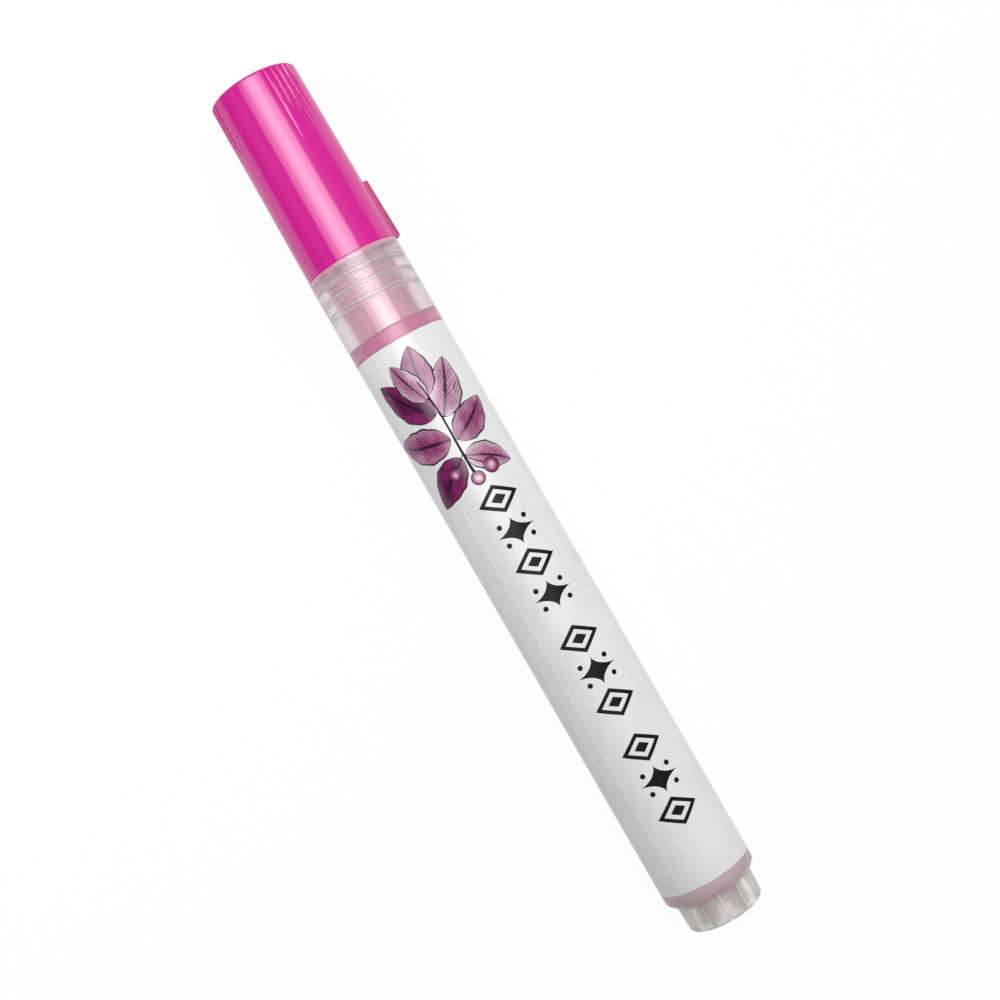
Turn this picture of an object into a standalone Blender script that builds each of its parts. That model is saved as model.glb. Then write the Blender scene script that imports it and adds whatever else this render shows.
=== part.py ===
"""A nail art pen: a capped, valve-action paint marker lying on a table.

The pen lies along X with its cap towards +X, and its lowest line is on Z = 0 below the origin.
Its pieces are turned about the pen's own axis. A station is a distance along that axis, from 0
at the tail's end face to the cap's closed end, and an empty lays the whole axis down.
An angle round the pen is counted from straight up towards -Y.
"""

import math

import bmesh
import bpy
from mathutils import Matrix

MM = 0.001

# Facets round the large shells and round the small inner pieces. Both counts are even, so that
# with a half step of turn one facet lies flat on the table.
SHELL_FACETS = 48
CORE_FACETS = 24
ARC_STEPS = 3
SMOOTH_ANGLE = 35

# Barrel: a tube with a cone floor, a narrower hollow tail behind it and a threaded neck before it.
BARREL_RADIUS = 7.5 * MM
BARREL_WALL = 1.1 * MM
BARREL_EDGE = 0.2 * MM
TAIL_LENGTH = 4.5 * MM
TAIL_STEP = 1.23 * MM
TAIL_DRAFT = 0.12 * MM
TAIL_EDGE = 0.7 * MM
TAIL_WALL = 1.15 * MM
SHOULDER_LENGTH = 1.4 * MM
REAR_BAND = 1.2 * MM
FRONT_BAND = 2.2 * MM
FRONT_WALL = 1.3 * MM
FRONT_CHAMFER = 1.2 * MM
NECK_LENGTH = 9.8 * MM
NECK_WALL = 1.2 * MM
NECK_EDGE = 0.25 * MM

# The cone floor is the curve tip + slope * (sqrt(r^2 + k^2) - k), whose tip is round by k.
FLOOR_TIP = 2.6 * MM
FLOOR_SLOPE = 0.9
FLOOR_ROUND = 1.5 * MM
FLOOR_WALL = 1.0 * MM
FLOOR_POINTS = 7

# Ribs that stiffen the hollow tail, from its wall inwards.
RIB_COUNT = 12
RIB_PHASE = 4.0
RIB_THICKNESS = 0.5 * MM
RIB_HUB = 2.6 * MM
RIB_RECESS = 0.4 * MM

# Label: a thin printed sleeve, flush in a recess of the barrel.
LABEL_LENGTH = 91.8 * MM
LABEL_THICKNESS = 0.12 * MM
LABEL_GAP = 0.05 * MM

# Front section: a clear collar with a skirt over the neck, a seat for the cap and a nose cone.
SECTION_INSET = 0.05 * MM
SECTION_EDGE = 0.2 * MM
SEAM_GAP = 0.15 * MM
GRIP_LENGTH = 11.85 * MM
SEAT_LENGTH = 7.9 * MM
SEAT_BEAD_HEIGHT = 0.06 * MM
SEAT_BEAD_WIDTH = 1.0 * MM
SEAT_BEAD_STATION = 3.4 * MM
THREAD_HEIGHT = 0.42 * MM
THREAD_CLEARANCE = 0.1 * MM
SKIRT_LEAD = 0.35 * MM
CHAMBER_REACH = 0.5 * MM
NOSE_STEP = 1.5 * MM
NOSE_LENGTH = 8.5 * MM
NOSE_WALL = 1.2 * MM
NOSE_LIP = 1.05 * MM
NOSE_EDGE = 0.3 * MM

# Nib, and the valve that it pushes back.
NIB_RADIUS = 1.25 * MM
NIB_CLEARANCE = 0.08 * MM
NIB_EXPOSED = 4.2 * MM
NIB_BULLET = 2.6 * MM
NIB_BULLET_POINTS = 6
NIB_TRAVEL = 2.0 * MM
NIB_SPARE = 0.7 * MM
NIB_EDGE = 0.15 * MM
VALVE_GAP = 0.1 * MM
PUSH_GAP = 0.3 * MM
STEM_RADIUS = 0.9 * MM
STEM_TAIL_RADIUS = 0.75 * MM
STEM_TAIL_REACH = 0.8 * MM
STEM_HEAD_LENGTH = 1.2 * MM
STEM_EDGE = 0.12 * MM
SEAL_THICKNESS = 0.7 * MM
SEAL_PASSAGE = 0.45 * MM
SEAL_OVERLAP = 0.65 * MM
HOUSING_RADIUS = 3.1 * MM
HOUSING_WALL = 0.65 * MM
HOUSING_CLEARANCE = 0.1 * MM
HOUSING_LENGTH = 12.1 * MM
HOUSING_BASE = 0.7 * MM
GUIDE_CLEARANCE = 0.2 * MM
WINDOW_COUNT = 3
WINDOW_WIDTH = 1.8 * MM
WINDOW_LENGTH = 5.0 * MM
WINDOW_RISE = 0.5 * MM
GASKET_THICKNESS = 0.6 * MM
GASKET_GAP = 0.1 * MM
PAINT_PASSAGE = 0.9 * MM

# Valve spring, an open coil round the stem's tail.
SPRING_TURNS = 7
SPRING_WIRE = 0.36 * MM
SPRING_CLEARANCE = 0.45 * MM
SPRING_END_GAP = 0.1 * MM
SPRING_POINTS_PER_TURN = 10
SPRING_LEAST_GAP = 0.4 * MM

# Cap: a tapered shell with grip flutes that run out, an anti-roll rib and a soft inner cup.
CAP_LENGTH = 30.3 * MM
CAP_GAP = 0.2 * MM
CAP_INSET = 0.01 * MM
CAP_TAPER = 0.3 * MM
CAP_WALL = 1.05 * MM
CAP_ROOF = 1.4 * MM
CAP_EDGE = 0.4 * MM
CAP_RIM_EDGE = 0.15 * MM
CAP_CLEARANCE = 0.1 * MM
CAP_LEAD = 0.3 * MM
FLUTE_GROUPS = 3
FLUTE_GROUP_START = 22.3
FLUTE_PITCH = 8.8
FLUTE_RADIUS = 0.42 * MM
FLUTE_DEPTH = 0.28 * MM
FLUTE_LENGTHS = (13.0 * MM, 8.9 * MM, 11.3 * MM, 11.3 * MM, 11.3 * MM)
FLUTE_SIDES = 10
RIB_ANGLE = 100.0
RIB_WIDTH = 2.0 * MM
RIB_LENGTH = 9.6 * MM
RIB_RISE_AT_RIM = 0.78 * MM
RIB_RISE_AT_END = 0.61 * MM
RIB_ROOT = 0.5 * MM
RIB_SETBACK = 0.1 * MM
RIB_EDGE = 0.18 * MM
LINER_WALL = 0.55 * MM
LINER_GAP = 0.1 * MM
LINER_FLANGE = 0.8 * MM

# Paint charge and the steel ball that stirs it.
PAINT_GAP = 0.05 * MM
BALL_RADIUS = 2.0 * MM
BALL_GAP = 0.1 * MM
BALL_STATION = 24.0 * MM
BALL_POCKET = 0.3 * MM
BALL_SEGMENTS = 20
BALL_RINGS = 12

# How far a cutter reaches past the surface that it opens.
CUT_PAST = 1.0 * MM

# Radii that follow from the sizes above.
BARREL_BORE = BARREL_RADIUS - BARREL_WALL
RECESS_RADIUS = BARREL_RADIUS - LABEL_THICKNESS - LABEL_GAP
TAIL_ROOT_RADIUS = BARREL_RADIUS - TAIL_STEP
TAIL_TIP_RADIUS = TAIL_ROOT_RADIUS - TAIL_DRAFT
TAIL_BORE = TAIL_TIP_RADIUS - TAIL_WALL
CHAMBER_BORE = HOUSING_RADIUS + HOUSING_CLEARANCE
HOUSING_BORE = HOUSING_RADIUS - HOUSING_WALL
NECK_BORE = HOUSING_RADIUS + PAINT_PASSAGE
NECK_RADIUS = NECK_BORE + NECK_WALL
SKIRT_BORE = NECK_RADIUS + THREAD_HEIGHT + THREAD_CLEARANCE
SECTION_RADIUS = BARREL_RADIUS - SECTION_INSET
CAP_RIM_RADIUS = BARREL_RADIUS - CAP_INSET
CAP_TOP_RADIUS = CAP_RIM_RADIUS - CAP_TAPER
SEAT_RADIUS = CAP_TOP_RADIUS - CAP_WALL - CAP_CLEARANCE - SEAT_BEAD_HEIGHT
NOSE_BASE_RADIUS = CHAMBER_BORE + NOSE_WALL
NIB_BORE = NIB_RADIUS + NIB_CLEARANCE
NOSE_TIP_RADIUS = NIB_BORE + NOSE_LIP
SEAL_HOLE = STEM_RADIUS + SEAL_PASSAGE
STEM_HEAD_RADIUS = SEAL_HOLE + SEAL_OVERLAP
GUIDE_HOLE = STEM_TAIL_RADIUS + GUIDE_CLEARANCE
SPRING_RADIUS = HOUSING_BORE - SPRING_CLEARANCE - SPRING_WIRE / 2
LINER_BORE = (NOSE_BASE_RADIUS + NOSE_TIP_RADIUS) / 2 + LINER_GAP
LINER_RADIUS = LINER_BORE + LINER_WALL

# Stations that follow from the sizes above.
SHOULDER_END = TAIL_LENGTH + SHOULDER_LENGTH
LABEL_START = SHOULDER_END + REAR_BAND
LABEL_END = LABEL_START + LABEL_LENGTH
BARREL_FRONT = LABEL_END + FRONT_BAND
NECK_END = BARREL_FRONT + NECK_LENGTH
SECTION_START = BARREL_FRONT + SEAM_GAP
SECTION_SHOULDER = SECTION_START + GRIP_LENGTH
SEAT_END = SECTION_SHOULDER + SEAT_LENGTH
NOSE_START = SEAT_END + NOSE_STEP
NOSE_END = NOSE_START + NOSE_LENGTH
GASKET_START = NECK_END + GASKET_GAP
GASKET_END = GASKET_START + GASKET_THICKNESS
SKIRT_FLOOR = GASKET_END + GASKET_GAP
CHAMBER_END = SEAT_END + CHAMBER_REACH
SEAL_END = CHAMBER_END - VALVE_GAP
SEAL_START = SEAL_END - SEAL_THICKNESS
HOUSING_END = SEAL_START - VALVE_GAP
HOUSING_START = HOUSING_END - HOUSING_LENGTH
NIB_TIP = NOSE_END + NIB_EXPOSED
NIB_REAR = CHAMBER_END + NIB_TRAVEL + NIB_SPARE
STEM_FRONT = NIB_REAR - PUSH_GAP
STEM_HEAD_END = SEAL_START - VALVE_GAP
STEM_HEAD_START = STEM_HEAD_END - STEM_HEAD_LENGTH
STEM_REAR = HOUSING_START - STEM_TAIL_REACH
CAP_RIM = SECTION_SHOULDER + CAP_GAP
CAP_TOP = CAP_RIM + CAP_LENGTH
CAP_ROOF_INSIDE = CAP_TOP - CAP_ROOF
LINER_END = CAP_ROOF_INSIDE - LINER_GAP
LINER_RIM = NOSE_START + NOSE_LENGTH / 2
PEN_LENGTH = CAP_TOP

# The table touches the middle of a facet, so the axis is that much lower than the radius.
AXIS_HEIGHT = BARREL_RADIUS * math.cos(math.pi / SHELL_FACETS)


def clear_scene():
    """Remove every object that the scene starts with."""
    for thing in list(bpy.data.objects):
        bpy.data.objects.remove(thing, do_unlink=True)


def new_collection(name):
    """Make a collection in the scene."""
    collection = bpy.data.collections.new(name)
    bpy.context.scene.collection.children.link(collection)
    return collection


def pen_axis(collection):
    """Make the empty that lays the pen down: its Z runs along +X and its X points up."""
    axis = bpy.data.objects.new("pen_axis", None)
    axis.empty_display_size = BARREL_RADIUS
    axis.matrix_world = Matrix(
        (
            (0, 0, 1, -PEN_LENGTH / 2),
            (0, -1, 0, 0),
            (1, 0, 0, AXIS_HEIGHT),
            (0, 0, 0, 1),
        )
    )
    collection.objects.link(axis)
    return axis


def finish(name, colour, roughness, metallic=0.0, alpha=1.0):
    """Make a Principled material."""
    material = bpy.data.materials.new(name)
    material.use_nodes = True
    shader = material.node_tree.nodes["Principled BSDF"]
    shader.inputs["Base Color"].default_value = (*colour, 1.0)
    shader.inputs["Roughness"].default_value = roughness
    shader.inputs["Metallic"].default_value = metallic
    shader.inputs["Alpha"].default_value = alpha
    material.diffuse_color = (*colour, alpha)
    return material


def arc(radius, station, size, start, end):
    """Points of an arc about (radius, station), between two angles in degrees from outwards."""
    step = (end - start) / ARC_STEPS
    angles = [math.radians(start + step * i) for i in range(ARC_STEPS + 1)]
    return [(radius + size * math.cos(a), station + size * math.sin(a)) for a in angles]


def front_edge(radius, station, size):
    """A rounded outer edge at a face that looks towards the cap."""
    return arc(radius - size, station - size, size, 90, 0)


def rear_edge(radius, station, size):
    """A rounded outer edge at a face that looks towards the tail."""
    return arc(radius - size, station + size, size, 0, -90)


def floor_station(radius, tip):
    """The station of the cone floor at a radius, for the given station of its tip."""
    return tip + FLOOR_SLOPE * (math.hypot(radius, FLOOR_ROUND) - FLOOR_ROUND)


def floor_curve(radius, tip):
    """Points of the cone floor from the axis out to a radius."""
    radii = [radius * i / FLOOR_POINTS for i in range(FLOOR_POINTS + 1)]
    return [(r, floor_station(r, tip)) for r in radii]


def cap_radius(station):
    """The cap's outer radius, which narrows evenly from its rim to its top."""
    return CAP_RIM_RADIUS - CAP_TAPER * (station - CAP_RIM) / CAP_LENGTH


def link(obj, axis, collection):
    """Parent an object to the pen's axis and put it in a collection."""
    obj.parent = axis
    collection.objects.link(obj)
    return obj


def turned(name, outline, facets, axis, collection, closed=False):
    """Turn an outline of (radius, station) points about the pen's axis with a Screw modifier.

    The outline runs down its outer side, from the cap's end towards the tail. A closed outline
    makes a ring, and an open one begins and ends on the axis.
    """
    count = len(outline)
    edges = [(i, i + 1) for i in range(count - 1)]
    if closed:
        edges.append((count - 1, 0))
    mesh = bpy.data.meshes.new(name)
    mesh.from_pydata([(r, 0, s) for r, s in outline], edges, [])
    obj = bpy.data.objects.new(name, mesh)
    obj.rotation_euler.z = math.pi / facets
    screw = obj.modifiers.new("turn", "SCREW")
    screw.axis = "Z"
    screw.angle = 2 * math.pi
    screw.steps = facets
    screw.render_steps = facets
    screw.use_merge_vertices = True
    screw.merge_threshold = 1e-6
    screw.use_smooth_shade = True
    return link(obj, axis, collection)


def block(name, low, high, turns, axis, collection):
    """Boxes between two corners, one for each angle in degrees round the pen, in one object."""
    shape = bmesh.new()
    middle = [(a + b) / 2 for a, b in zip(low, high)]
    size = [b - a for a, b in zip(low, high)]
    for turn in turns:
        place = Matrix.Rotation(math.radians(turn), 4, "Z")
        place = place @ Matrix.Translation(middle) @ Matrix.Diagonal((*size, 1))
        bmesh.ops.create_cube(shape, size=1, matrix=place)
    mesh = bpy.data.meshes.new(name)
    shape.to_mesh(mesh)
    shape.free()
    return link(bpy.data.objects.new(name, mesh), axis, collection)


def as_cutter(obj):
    """Show a helper as wire and keep it out of the model."""
    obj.hide_render = True
    obj.display_type = "WIRE"
    return obj


def combine(obj, other, operation):
    """Add an exact Boolean with another object."""
    boolean = obj.modifiers.new(f"{operation.lower()} {other.name}", "BOOLEAN")
    boolean.operation = operation
    boolean.solver = "EXACT"
    boolean.object = other


def shade_round(obj):
    """Give an object its final mesh, smooth except at its sharp edges."""
    graph = bpy.context.evaluated_depsgraph_get()
    mesh = bpy.data.meshes.new_from_object(obj.evaluated_get(graph))
    mesh.name = obj.name
    obj.modifiers.clear()
    obj.data = mesh
    mesh.shade_smooth()
    mesh.set_sharp_from_angle(angle=math.radians(SMOOTH_ANGLE))


def dress(obj, material):
    """Give an object its one material."""
    obj.data.materials.clear()
    obj.data.materials.append(material)


def build_barrel(axis, parts, cutters):
    """Paint tube: inside it runs from the cone floor to the neck, outside back to the tail."""
    front_inside = BARREL_FRONT - FRONT_WALL
    inside = [
        *floor_curve(BARREL_BORE, FLOOR_TIP),
        (BARREL_BORE, front_inside - FRONT_CHAMFER),
        (BARREL_BORE - FRONT_CHAMFER, front_inside),
        (NECK_BORE, front_inside),
        (NECK_BORE, NECK_END),
    ]
    neck = [
        (NECK_RADIUS - NECK_EDGE, NECK_END),
        (NECK_RADIUS, NECK_END - NECK_EDGE),
        (NECK_RADIUS, BARREL_FRONT),
    ]
    recess = [
        (BARREL_RADIUS, LABEL_END + LABEL_GAP),
        (RECESS_RADIUS, LABEL_END + LABEL_GAP),
        (RECESS_RADIUS, LABEL_START - LABEL_GAP),
        (BARREL_RADIUS, LABEL_START - LABEL_GAP),
    ]
    shoulder = [
        (TAIL_ROOT_RADIUS + (BARREL_RADIUS - TAIL_ROOT_RADIUS) * math.cos(a),
         SHOULDER_END - SHOULDER_LENGTH * math.sin(a))
        for a in [math.radians(90 * i / (2 * ARC_STEPS)) for i in range(2 * ARC_STEPS + 1)]
    ]
    tail = [*rear_edge(TAIL_TIP_RADIUS, 0, TAIL_EDGE), (0, 0)]
    edge = front_edge(BARREL_RADIUS, BARREL_FRONT, BARREL_EDGE)
    outline = inside + neck + edge + recess + shoulder + tail
    barrel = turned("barrel", outline, SHELL_FACETS, axis, parts)
    combine(barrel, tail_hollow(axis, cutters), "DIFFERENCE")
    return barrel


def tail_hollow(axis, cutters):
    """Cutter for the hollow tail: the space under the cone floor, less the ribs in it."""
    under_floor = floor_curve(TAIL_BORE, FLOOR_TIP - FLOOR_WALL)
    outline = [*under_floor, (TAIL_BORE, -CUT_PAST), (0, -CUT_PAST)]
    hollow = as_cutter(turned("tail_hollow", outline, SHELL_FACETS, axis, cutters))
    ribs = block(
        "tail_ribs",
        (RIB_HUB, -RIB_THICKNESS / 2, RIB_RECESS),
        (TAIL_BORE + CUT_PAST, RIB_THICKNESS / 2, floor_station(TAIL_BORE, FLOOR_TIP)),
        [RIB_PHASE + 360 * i / RIB_COUNT for i in range(RIB_COUNT)],
        axis,
        cutters,
    )
    combine(hollow, as_cutter(ribs), "DIFFERENCE")
    return hollow


def build_label(axis, parts):
    """Printed sleeve, flush with the bands of the barrel at both ends."""
    inside = BARREL_RADIUS - LABEL_THICKNESS
    outline = [
        (inside, LABEL_END),
        (BARREL_RADIUS, LABEL_END),
        (BARREL_RADIUS, LABEL_START),
        (inside, LABEL_START),
    ]
    return turned("label", outline, SHELL_FACETS, axis, parts, closed=True)


def build_front_section(axis, parts):
    """Clear collar: grip skirt, cap seat with its bead, and the nose that guides the nib."""
    bead = SECTION_SHOULDER + SEAT_BEAD_STATION
    outside = [
        (NIB_BORE, NOSE_END),
        *front_edge(NOSE_TIP_RADIUS, NOSE_END, NOSE_EDGE),
        (NOSE_BASE_RADIUS, NOSE_START),
        (SEAT_RADIUS, SEAT_END),
        (SEAT_RADIUS, bead + SEAT_BEAD_WIDTH / 2),
        (SEAT_RADIUS + SEAT_BEAD_HEIGHT, bead + SEAT_BEAD_WIDTH / 6),
        (SEAT_RADIUS + SEAT_BEAD_HEIGHT, bead - SEAT_BEAD_WIDTH / 6),
        (SEAT_RADIUS, bead - SEAT_BEAD_WIDTH / 2),
        (SEAT_RADIUS, SECTION_SHOULDER),
        *front_edge(SECTION_RADIUS, SECTION_SHOULDER, SECTION_EDGE),
        *rear_edge(SECTION_RADIUS, SECTION_START, SECTION_EDGE),
    ]
    inside = [
        (SKIRT_BORE + SKIRT_LEAD, SECTION_START),
        (SKIRT_BORE, SECTION_START + SKIRT_LEAD),
        (SKIRT_BORE, SKIRT_FLOOR),
        (CHAMBER_BORE, SKIRT_FLOOR),
        (CHAMBER_BORE, CHAMBER_END),
        (NIB_BORE, CHAMBER_END),
    ]
    return turned("front_section", outside + inside, SHELL_FACETS, axis, parts, closed=True)


def build_neck_gasket(axis, parts):
    """Flat ring that the front section presses on the neck's end."""
    return ring("neck_gasket", NECK_BORE, NECK_RADIUS, GASKET_START, GASKET_END, axis, parts)


def build_valve_seal(axis, parts):
    """Soft washer that the stem's head closes from behind."""
    return ring("valve_seal", SEAL_HOLE, HOUSING_RADIUS, SEAL_START, SEAL_END, axis, parts)


def ring(name, bore, radius, start, end, axis, collection):
    """A flat ring between two stations."""
    outline = [(bore, end), (radius, end), (radius, start), (bore, start)]
    return turned(name, outline, CORE_FACETS, axis, collection, closed=True)


def build_valve_housing(axis, parts, cutters):
    """Cage behind the washer, with a guide hole in its base and windows for the paint."""
    base = HOUSING_START + HOUSING_BASE
    outline = [
        (HOUSING_BORE, HOUSING_END),
        (HOUSING_RADIUS, HOUSING_END),
        *rear_edge(HOUSING_RADIUS, HOUSING_START, HOUSING_BASE / 2),
        (GUIDE_HOLE, HOUSING_START),
        (GUIDE_HOLE, base),
        (HOUSING_BORE, base),
    ]
    housing = turned("valve_housing", outline, CORE_FACETS, axis, parts, closed=True)
    windows = block(
        "housing_windows",
        (HOUSING_BORE / 2, -WINDOW_WIDTH / 2, base + WINDOW_RISE),
        (HOUSING_RADIUS + CUT_PAST, WINDOW_WIDTH / 2, base + WINDOW_RISE + WINDOW_LENGTH),
        [360 * i / WINDOW_COUNT for i in range(WINDOW_COUNT)],
        axis,
        cutters,
    )
    combine(housing, as_cutter(windows), "DIFFERENCE")
    return housing


def build_valve_stem(axis, parts):
    """Plunger: a front rod behind the nib, the sealing head and a guide rod in the spring."""
    outline = [
        (0, STEM_FRONT),
        (STEM_RADIUS - STEM_EDGE, STEM_FRONT),
        (STEM_RADIUS, STEM_FRONT - STEM_EDGE),
        (STEM_RADIUS, STEM_HEAD_END),
        (STEM_HEAD_RADIUS - STEM_EDGE, STEM_HEAD_END),
        (STEM_HEAD_RADIUS, STEM_HEAD_END - STEM_EDGE),
        (STEM_HEAD_RADIUS, STEM_HEAD_START),
        (STEM_TAIL_RADIUS, STEM_HEAD_START),
        (STEM_TAIL_RADIUS, STEM_REAR + STEM_EDGE),
        (STEM_TAIL_RADIUS - STEM_EDGE, STEM_REAR),
        (0, STEM_REAR),
    ]
    return turned("valve_stem", outline, CORE_FACETS, axis, parts)


def build_nib(axis, parts):
    """Fibre nib, whose end is half an ellipse."""
    angles = [math.radians(90 * i / NIB_BULLET_POINTS) for i in range(NIB_BULLET_POINTS + 1)]
    bullet = [
        (NIB_RADIUS * math.sin(a), NIB_TIP - NIB_BULLET * (1 - math.cos(a))) for a in angles
    ]
    rear = [(NIB_RADIUS, NIB_REAR + NIB_EDGE), (NIB_RADIUS - NIB_EDGE, NIB_REAR), (0, NIB_REAR)]
    return turned("nib", bullet + rear, CORE_FACETS, axis, parts)


def spring_points():
    """Centre points of the spring's wire, a helix between the housing's base and the head."""
    ends = SPRING_END_GAP + SPRING_WIRE / 2
    start = HOUSING_START + HOUSING_BASE + ends
    length = STEM_HEAD_START - ends - start
    count = SPRING_TURNS * SPRING_POINTS_PER_TURN
    points = []
    for i in range(count + 1):
        turn = 2 * math.pi * i / SPRING_POINTS_PER_TURN
        x = SPRING_RADIUS * math.cos(turn)
        y = SPRING_RADIUS * math.sin(turn)
        points.append((x, y, start + length * i / count))
    return points


def least_gap(points, wire):
    """The least gap between stretches of the wire that are half a turn or more apart."""
    apart = SPRING_POINTS_PER_TURN // 2
    pairs = [(a, b) for i, a in enumerate(points) for b in points[i + apart:]]
    return min(math.dist(a, b) for a, b in pairs) - wire


def build_valve_spring(axis, parts):
    """Coil spring as one unbroken tube."""
    points = spring_points()
    gap = least_gap(points, SPRING_WIRE)
    print(f"valve_spring: least gap to itself {gap / MM:.2f} mm, wanted over {SPRING_LEAST_GAP / MM:.2f}")
    curve = bpy.data.curves.new("valve_spring", "CURVE")
    curve.dimensions = "3D"
    curve.bevel_depth = SPRING_WIRE / 2
    curve.bevel_resolution = 1
    curve.use_fill_caps = True
    spline = curve.splines.new("POLY")
    spline.points.add(len(points) - 1)
    for point, place in zip(spline.points, points):
        point.co = (*place, 1)
    spline.use_smooth = True
    return link(bpy.data.objects.new("valve_spring", curve), axis, parts)


def build_cap(axis, parts, cutters):
    """Cap shell: outside from its closed end to its rim, inside back up to its roof."""
    bore_at_rim = CAP_RIM_RADIUS - CAP_WALL
    bore_at_roof = CAP_TOP_RADIUS - CAP_WALL
    outline = [
        (0, CAP_TOP),
        *front_edge(CAP_TOP_RADIUS, CAP_TOP, CAP_EDGE),
        *rear_edge(CAP_RIM_RADIUS, CAP_RIM, CAP_RIM_EDGE),
        (bore_at_rim + CAP_LEAD, CAP_RIM),
        (bore_at_rim, CAP_RIM + CAP_LEAD),
        (bore_at_roof, CAP_ROOF_INSIDE - CAP_EDGE),
        (bore_at_roof - CAP_EDGE, CAP_ROOF_INSIDE),
        (0, CAP_ROOF_INSIDE),
    ]
    cap = turned("cap", outline, SHELL_FACETS, axis, parts)
    combine(cap, anti_roll_rib(axis, cutters), "UNION")
    combine(cap, grip_flutes(axis, cutters), "DIFFERENCE")
    return cap


def grip_flutes(axis, cutters):
    """Cutter for the grip flutes: rods that lean outwards, so each groove runs out to nothing."""
    shape = bmesh.new()
    for group in range(FLUTE_GROUPS):
        for place, length in enumerate(FLUTE_LENGTHS):
            turn = 360 * group / FLUTE_GROUPS + FLUTE_GROUP_START + FLUTE_PITCH * place
            high, low = CAP_TOP, CAP_TOP - length
            rod_high = cap_radius(high) + FLUTE_RADIUS - FLUTE_DEPTH
            rod_low = cap_radius(low) + FLUTE_RADIUS
            lean = math.atan2(rod_low - rod_high, length)
            middle = ((rod_high + rod_low) / 2, 0, (high + low) / 2)
            matrix = Matrix.Rotation(math.radians(turn), 4, "Z")
            matrix = matrix @ Matrix.Translation(middle) @ Matrix.Rotation(-lean, 4, "Y")
            bmesh.ops.create_cone(
                shape,
                cap_ends=True,
                segments=FLUTE_SIDES,
                radius1=FLUTE_RADIUS,
                radius2=FLUTE_RADIUS,
                depth=length + 2 * CUT_PAST,
                matrix=matrix,
            )
    mesh = bpy.data.meshes.new("grip_flutes")
    shape.to_mesh(mesh)
    shape.free()
    return as_cutter(link(bpy.data.objects.new("grip_flutes", mesh), axis, cutters))


def anti_roll_rib(axis, cutters):
    """The rib along the cap's rim that stops the pen rolling, lower at its far end."""
    start = CAP_RIM + RIB_SETBACK
    end = start + RIB_LENGTH
    low = (cap_radius(end) - RIB_ROOT, -RIB_WIDTH / 2, start)
    high = (CAP_RIM_RADIUS + RIB_RISE_AT_RIM, RIB_WIDTH / 2, end)
    rib = block("anti_roll_rib", low, high, [0], axis, cutters)
    top_at_end = cap_radius(end) + RIB_RISE_AT_END
    for vertex in rib.data.vertices:
        if vertex.co.x > CAP_RIM_RADIUS and vertex.co.z > (start + end) / 2:
            vertex.co.x = top_at_end
    bevel = rib.modifiers.new("edges", "BEVEL")
    bevel.width = RIB_EDGE
    bevel.segments = 2
    rib.rotation_euler.z = math.radians(RIB_ANGLE)
    return as_cutter(rib)


def build_cap_liner(axis, parts):
    """Soft cup in the cap's closed end. Its rim closes on the nose cone, and its flange holds it."""
    flange = CAP_TOP_RADIUS - CAP_WALL - LINER_GAP
    outline = [
        (0, LINER_END),
        (flange - CAP_EDGE, LINER_END),
        (flange, LINER_END - CAP_EDGE),
        (flange, LINER_END - LINER_FLANGE),
        (LINER_RADIUS, LINER_END - LINER_FLANGE),
        (LINER_RADIUS, LINER_RIM + LINER_WALL),
        (LINER_BORE + LINER_WALL / 3, LINER_RIM),
        (LINER_BORE, LINER_RIM),
        (LINER_BORE, LINER_END - LINER_FLANGE),
        (0, LINER_END - LINER_FLANGE),
    ]
    return turned("cap_liner", outline, CORE_FACETS, axis, parts)


def ball_height():
    """How far the ball's centre is below the pen's axis when it rests on the bore."""
    return BARREL_BORE * math.cos(math.pi / SHELL_FACETS) - BALL_RADIUS - BALL_GAP


def ball(name, radius, axis, collection):
    """A ball where the mixing ball rests."""
    shape = bmesh.new()
    bmesh.ops.create_uvsphere(shape, u_segments=BALL_SEGMENTS, v_segments=BALL_RINGS, radius=radius)
    mesh = bpy.data.meshes.new(name)
    shape.to_mesh(mesh)
    shape.free()
    mesh.shade_smooth()
    obj = link(bpy.data.objects.new(name, mesh), axis, collection)
    obj.location = (-ball_height(), 0, BALL_STATION)
    return obj


def build_paint(axis, parts, cutters):
    """Paint charge: it fills the barrel and its neck, round the valve's rear and the ball."""
    front_inside = BARREL_FRONT - FRONT_WALL - PAINT_GAP
    bore = BARREL_BORE - PAINT_GAP
    hollow_end = STEM_REAR - NIB_TRAVEL - PUSH_GAP
    outline = [
        (0, hollow_end),
        (HOUSING_RADIUS + PAINT_GAP, hollow_end),
        (HOUSING_RADIUS + PAINT_GAP, NECK_END - PAINT_GAP),
        (NECK_BORE - PAINT_GAP, NECK_END - PAINT_GAP),
        (NECK_BORE - PAINT_GAP, front_inside),
        (bore - FRONT_CHAMFER, front_inside),
        (bore, front_inside - FRONT_CHAMFER),
        *reversed(floor_curve(bore, FLOOR_TIP + 2 * PAINT_GAP)),
    ]
    paint = turned("paint", outline, SHELL_FACETS, axis, parts)
    pocket = as_cutter(ball("ball_pocket", BALL_RADIUS + BALL_POCKET, axis, cutters))
    combine(paint, pocket, "DIFFERENCE")
    return paint


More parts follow.
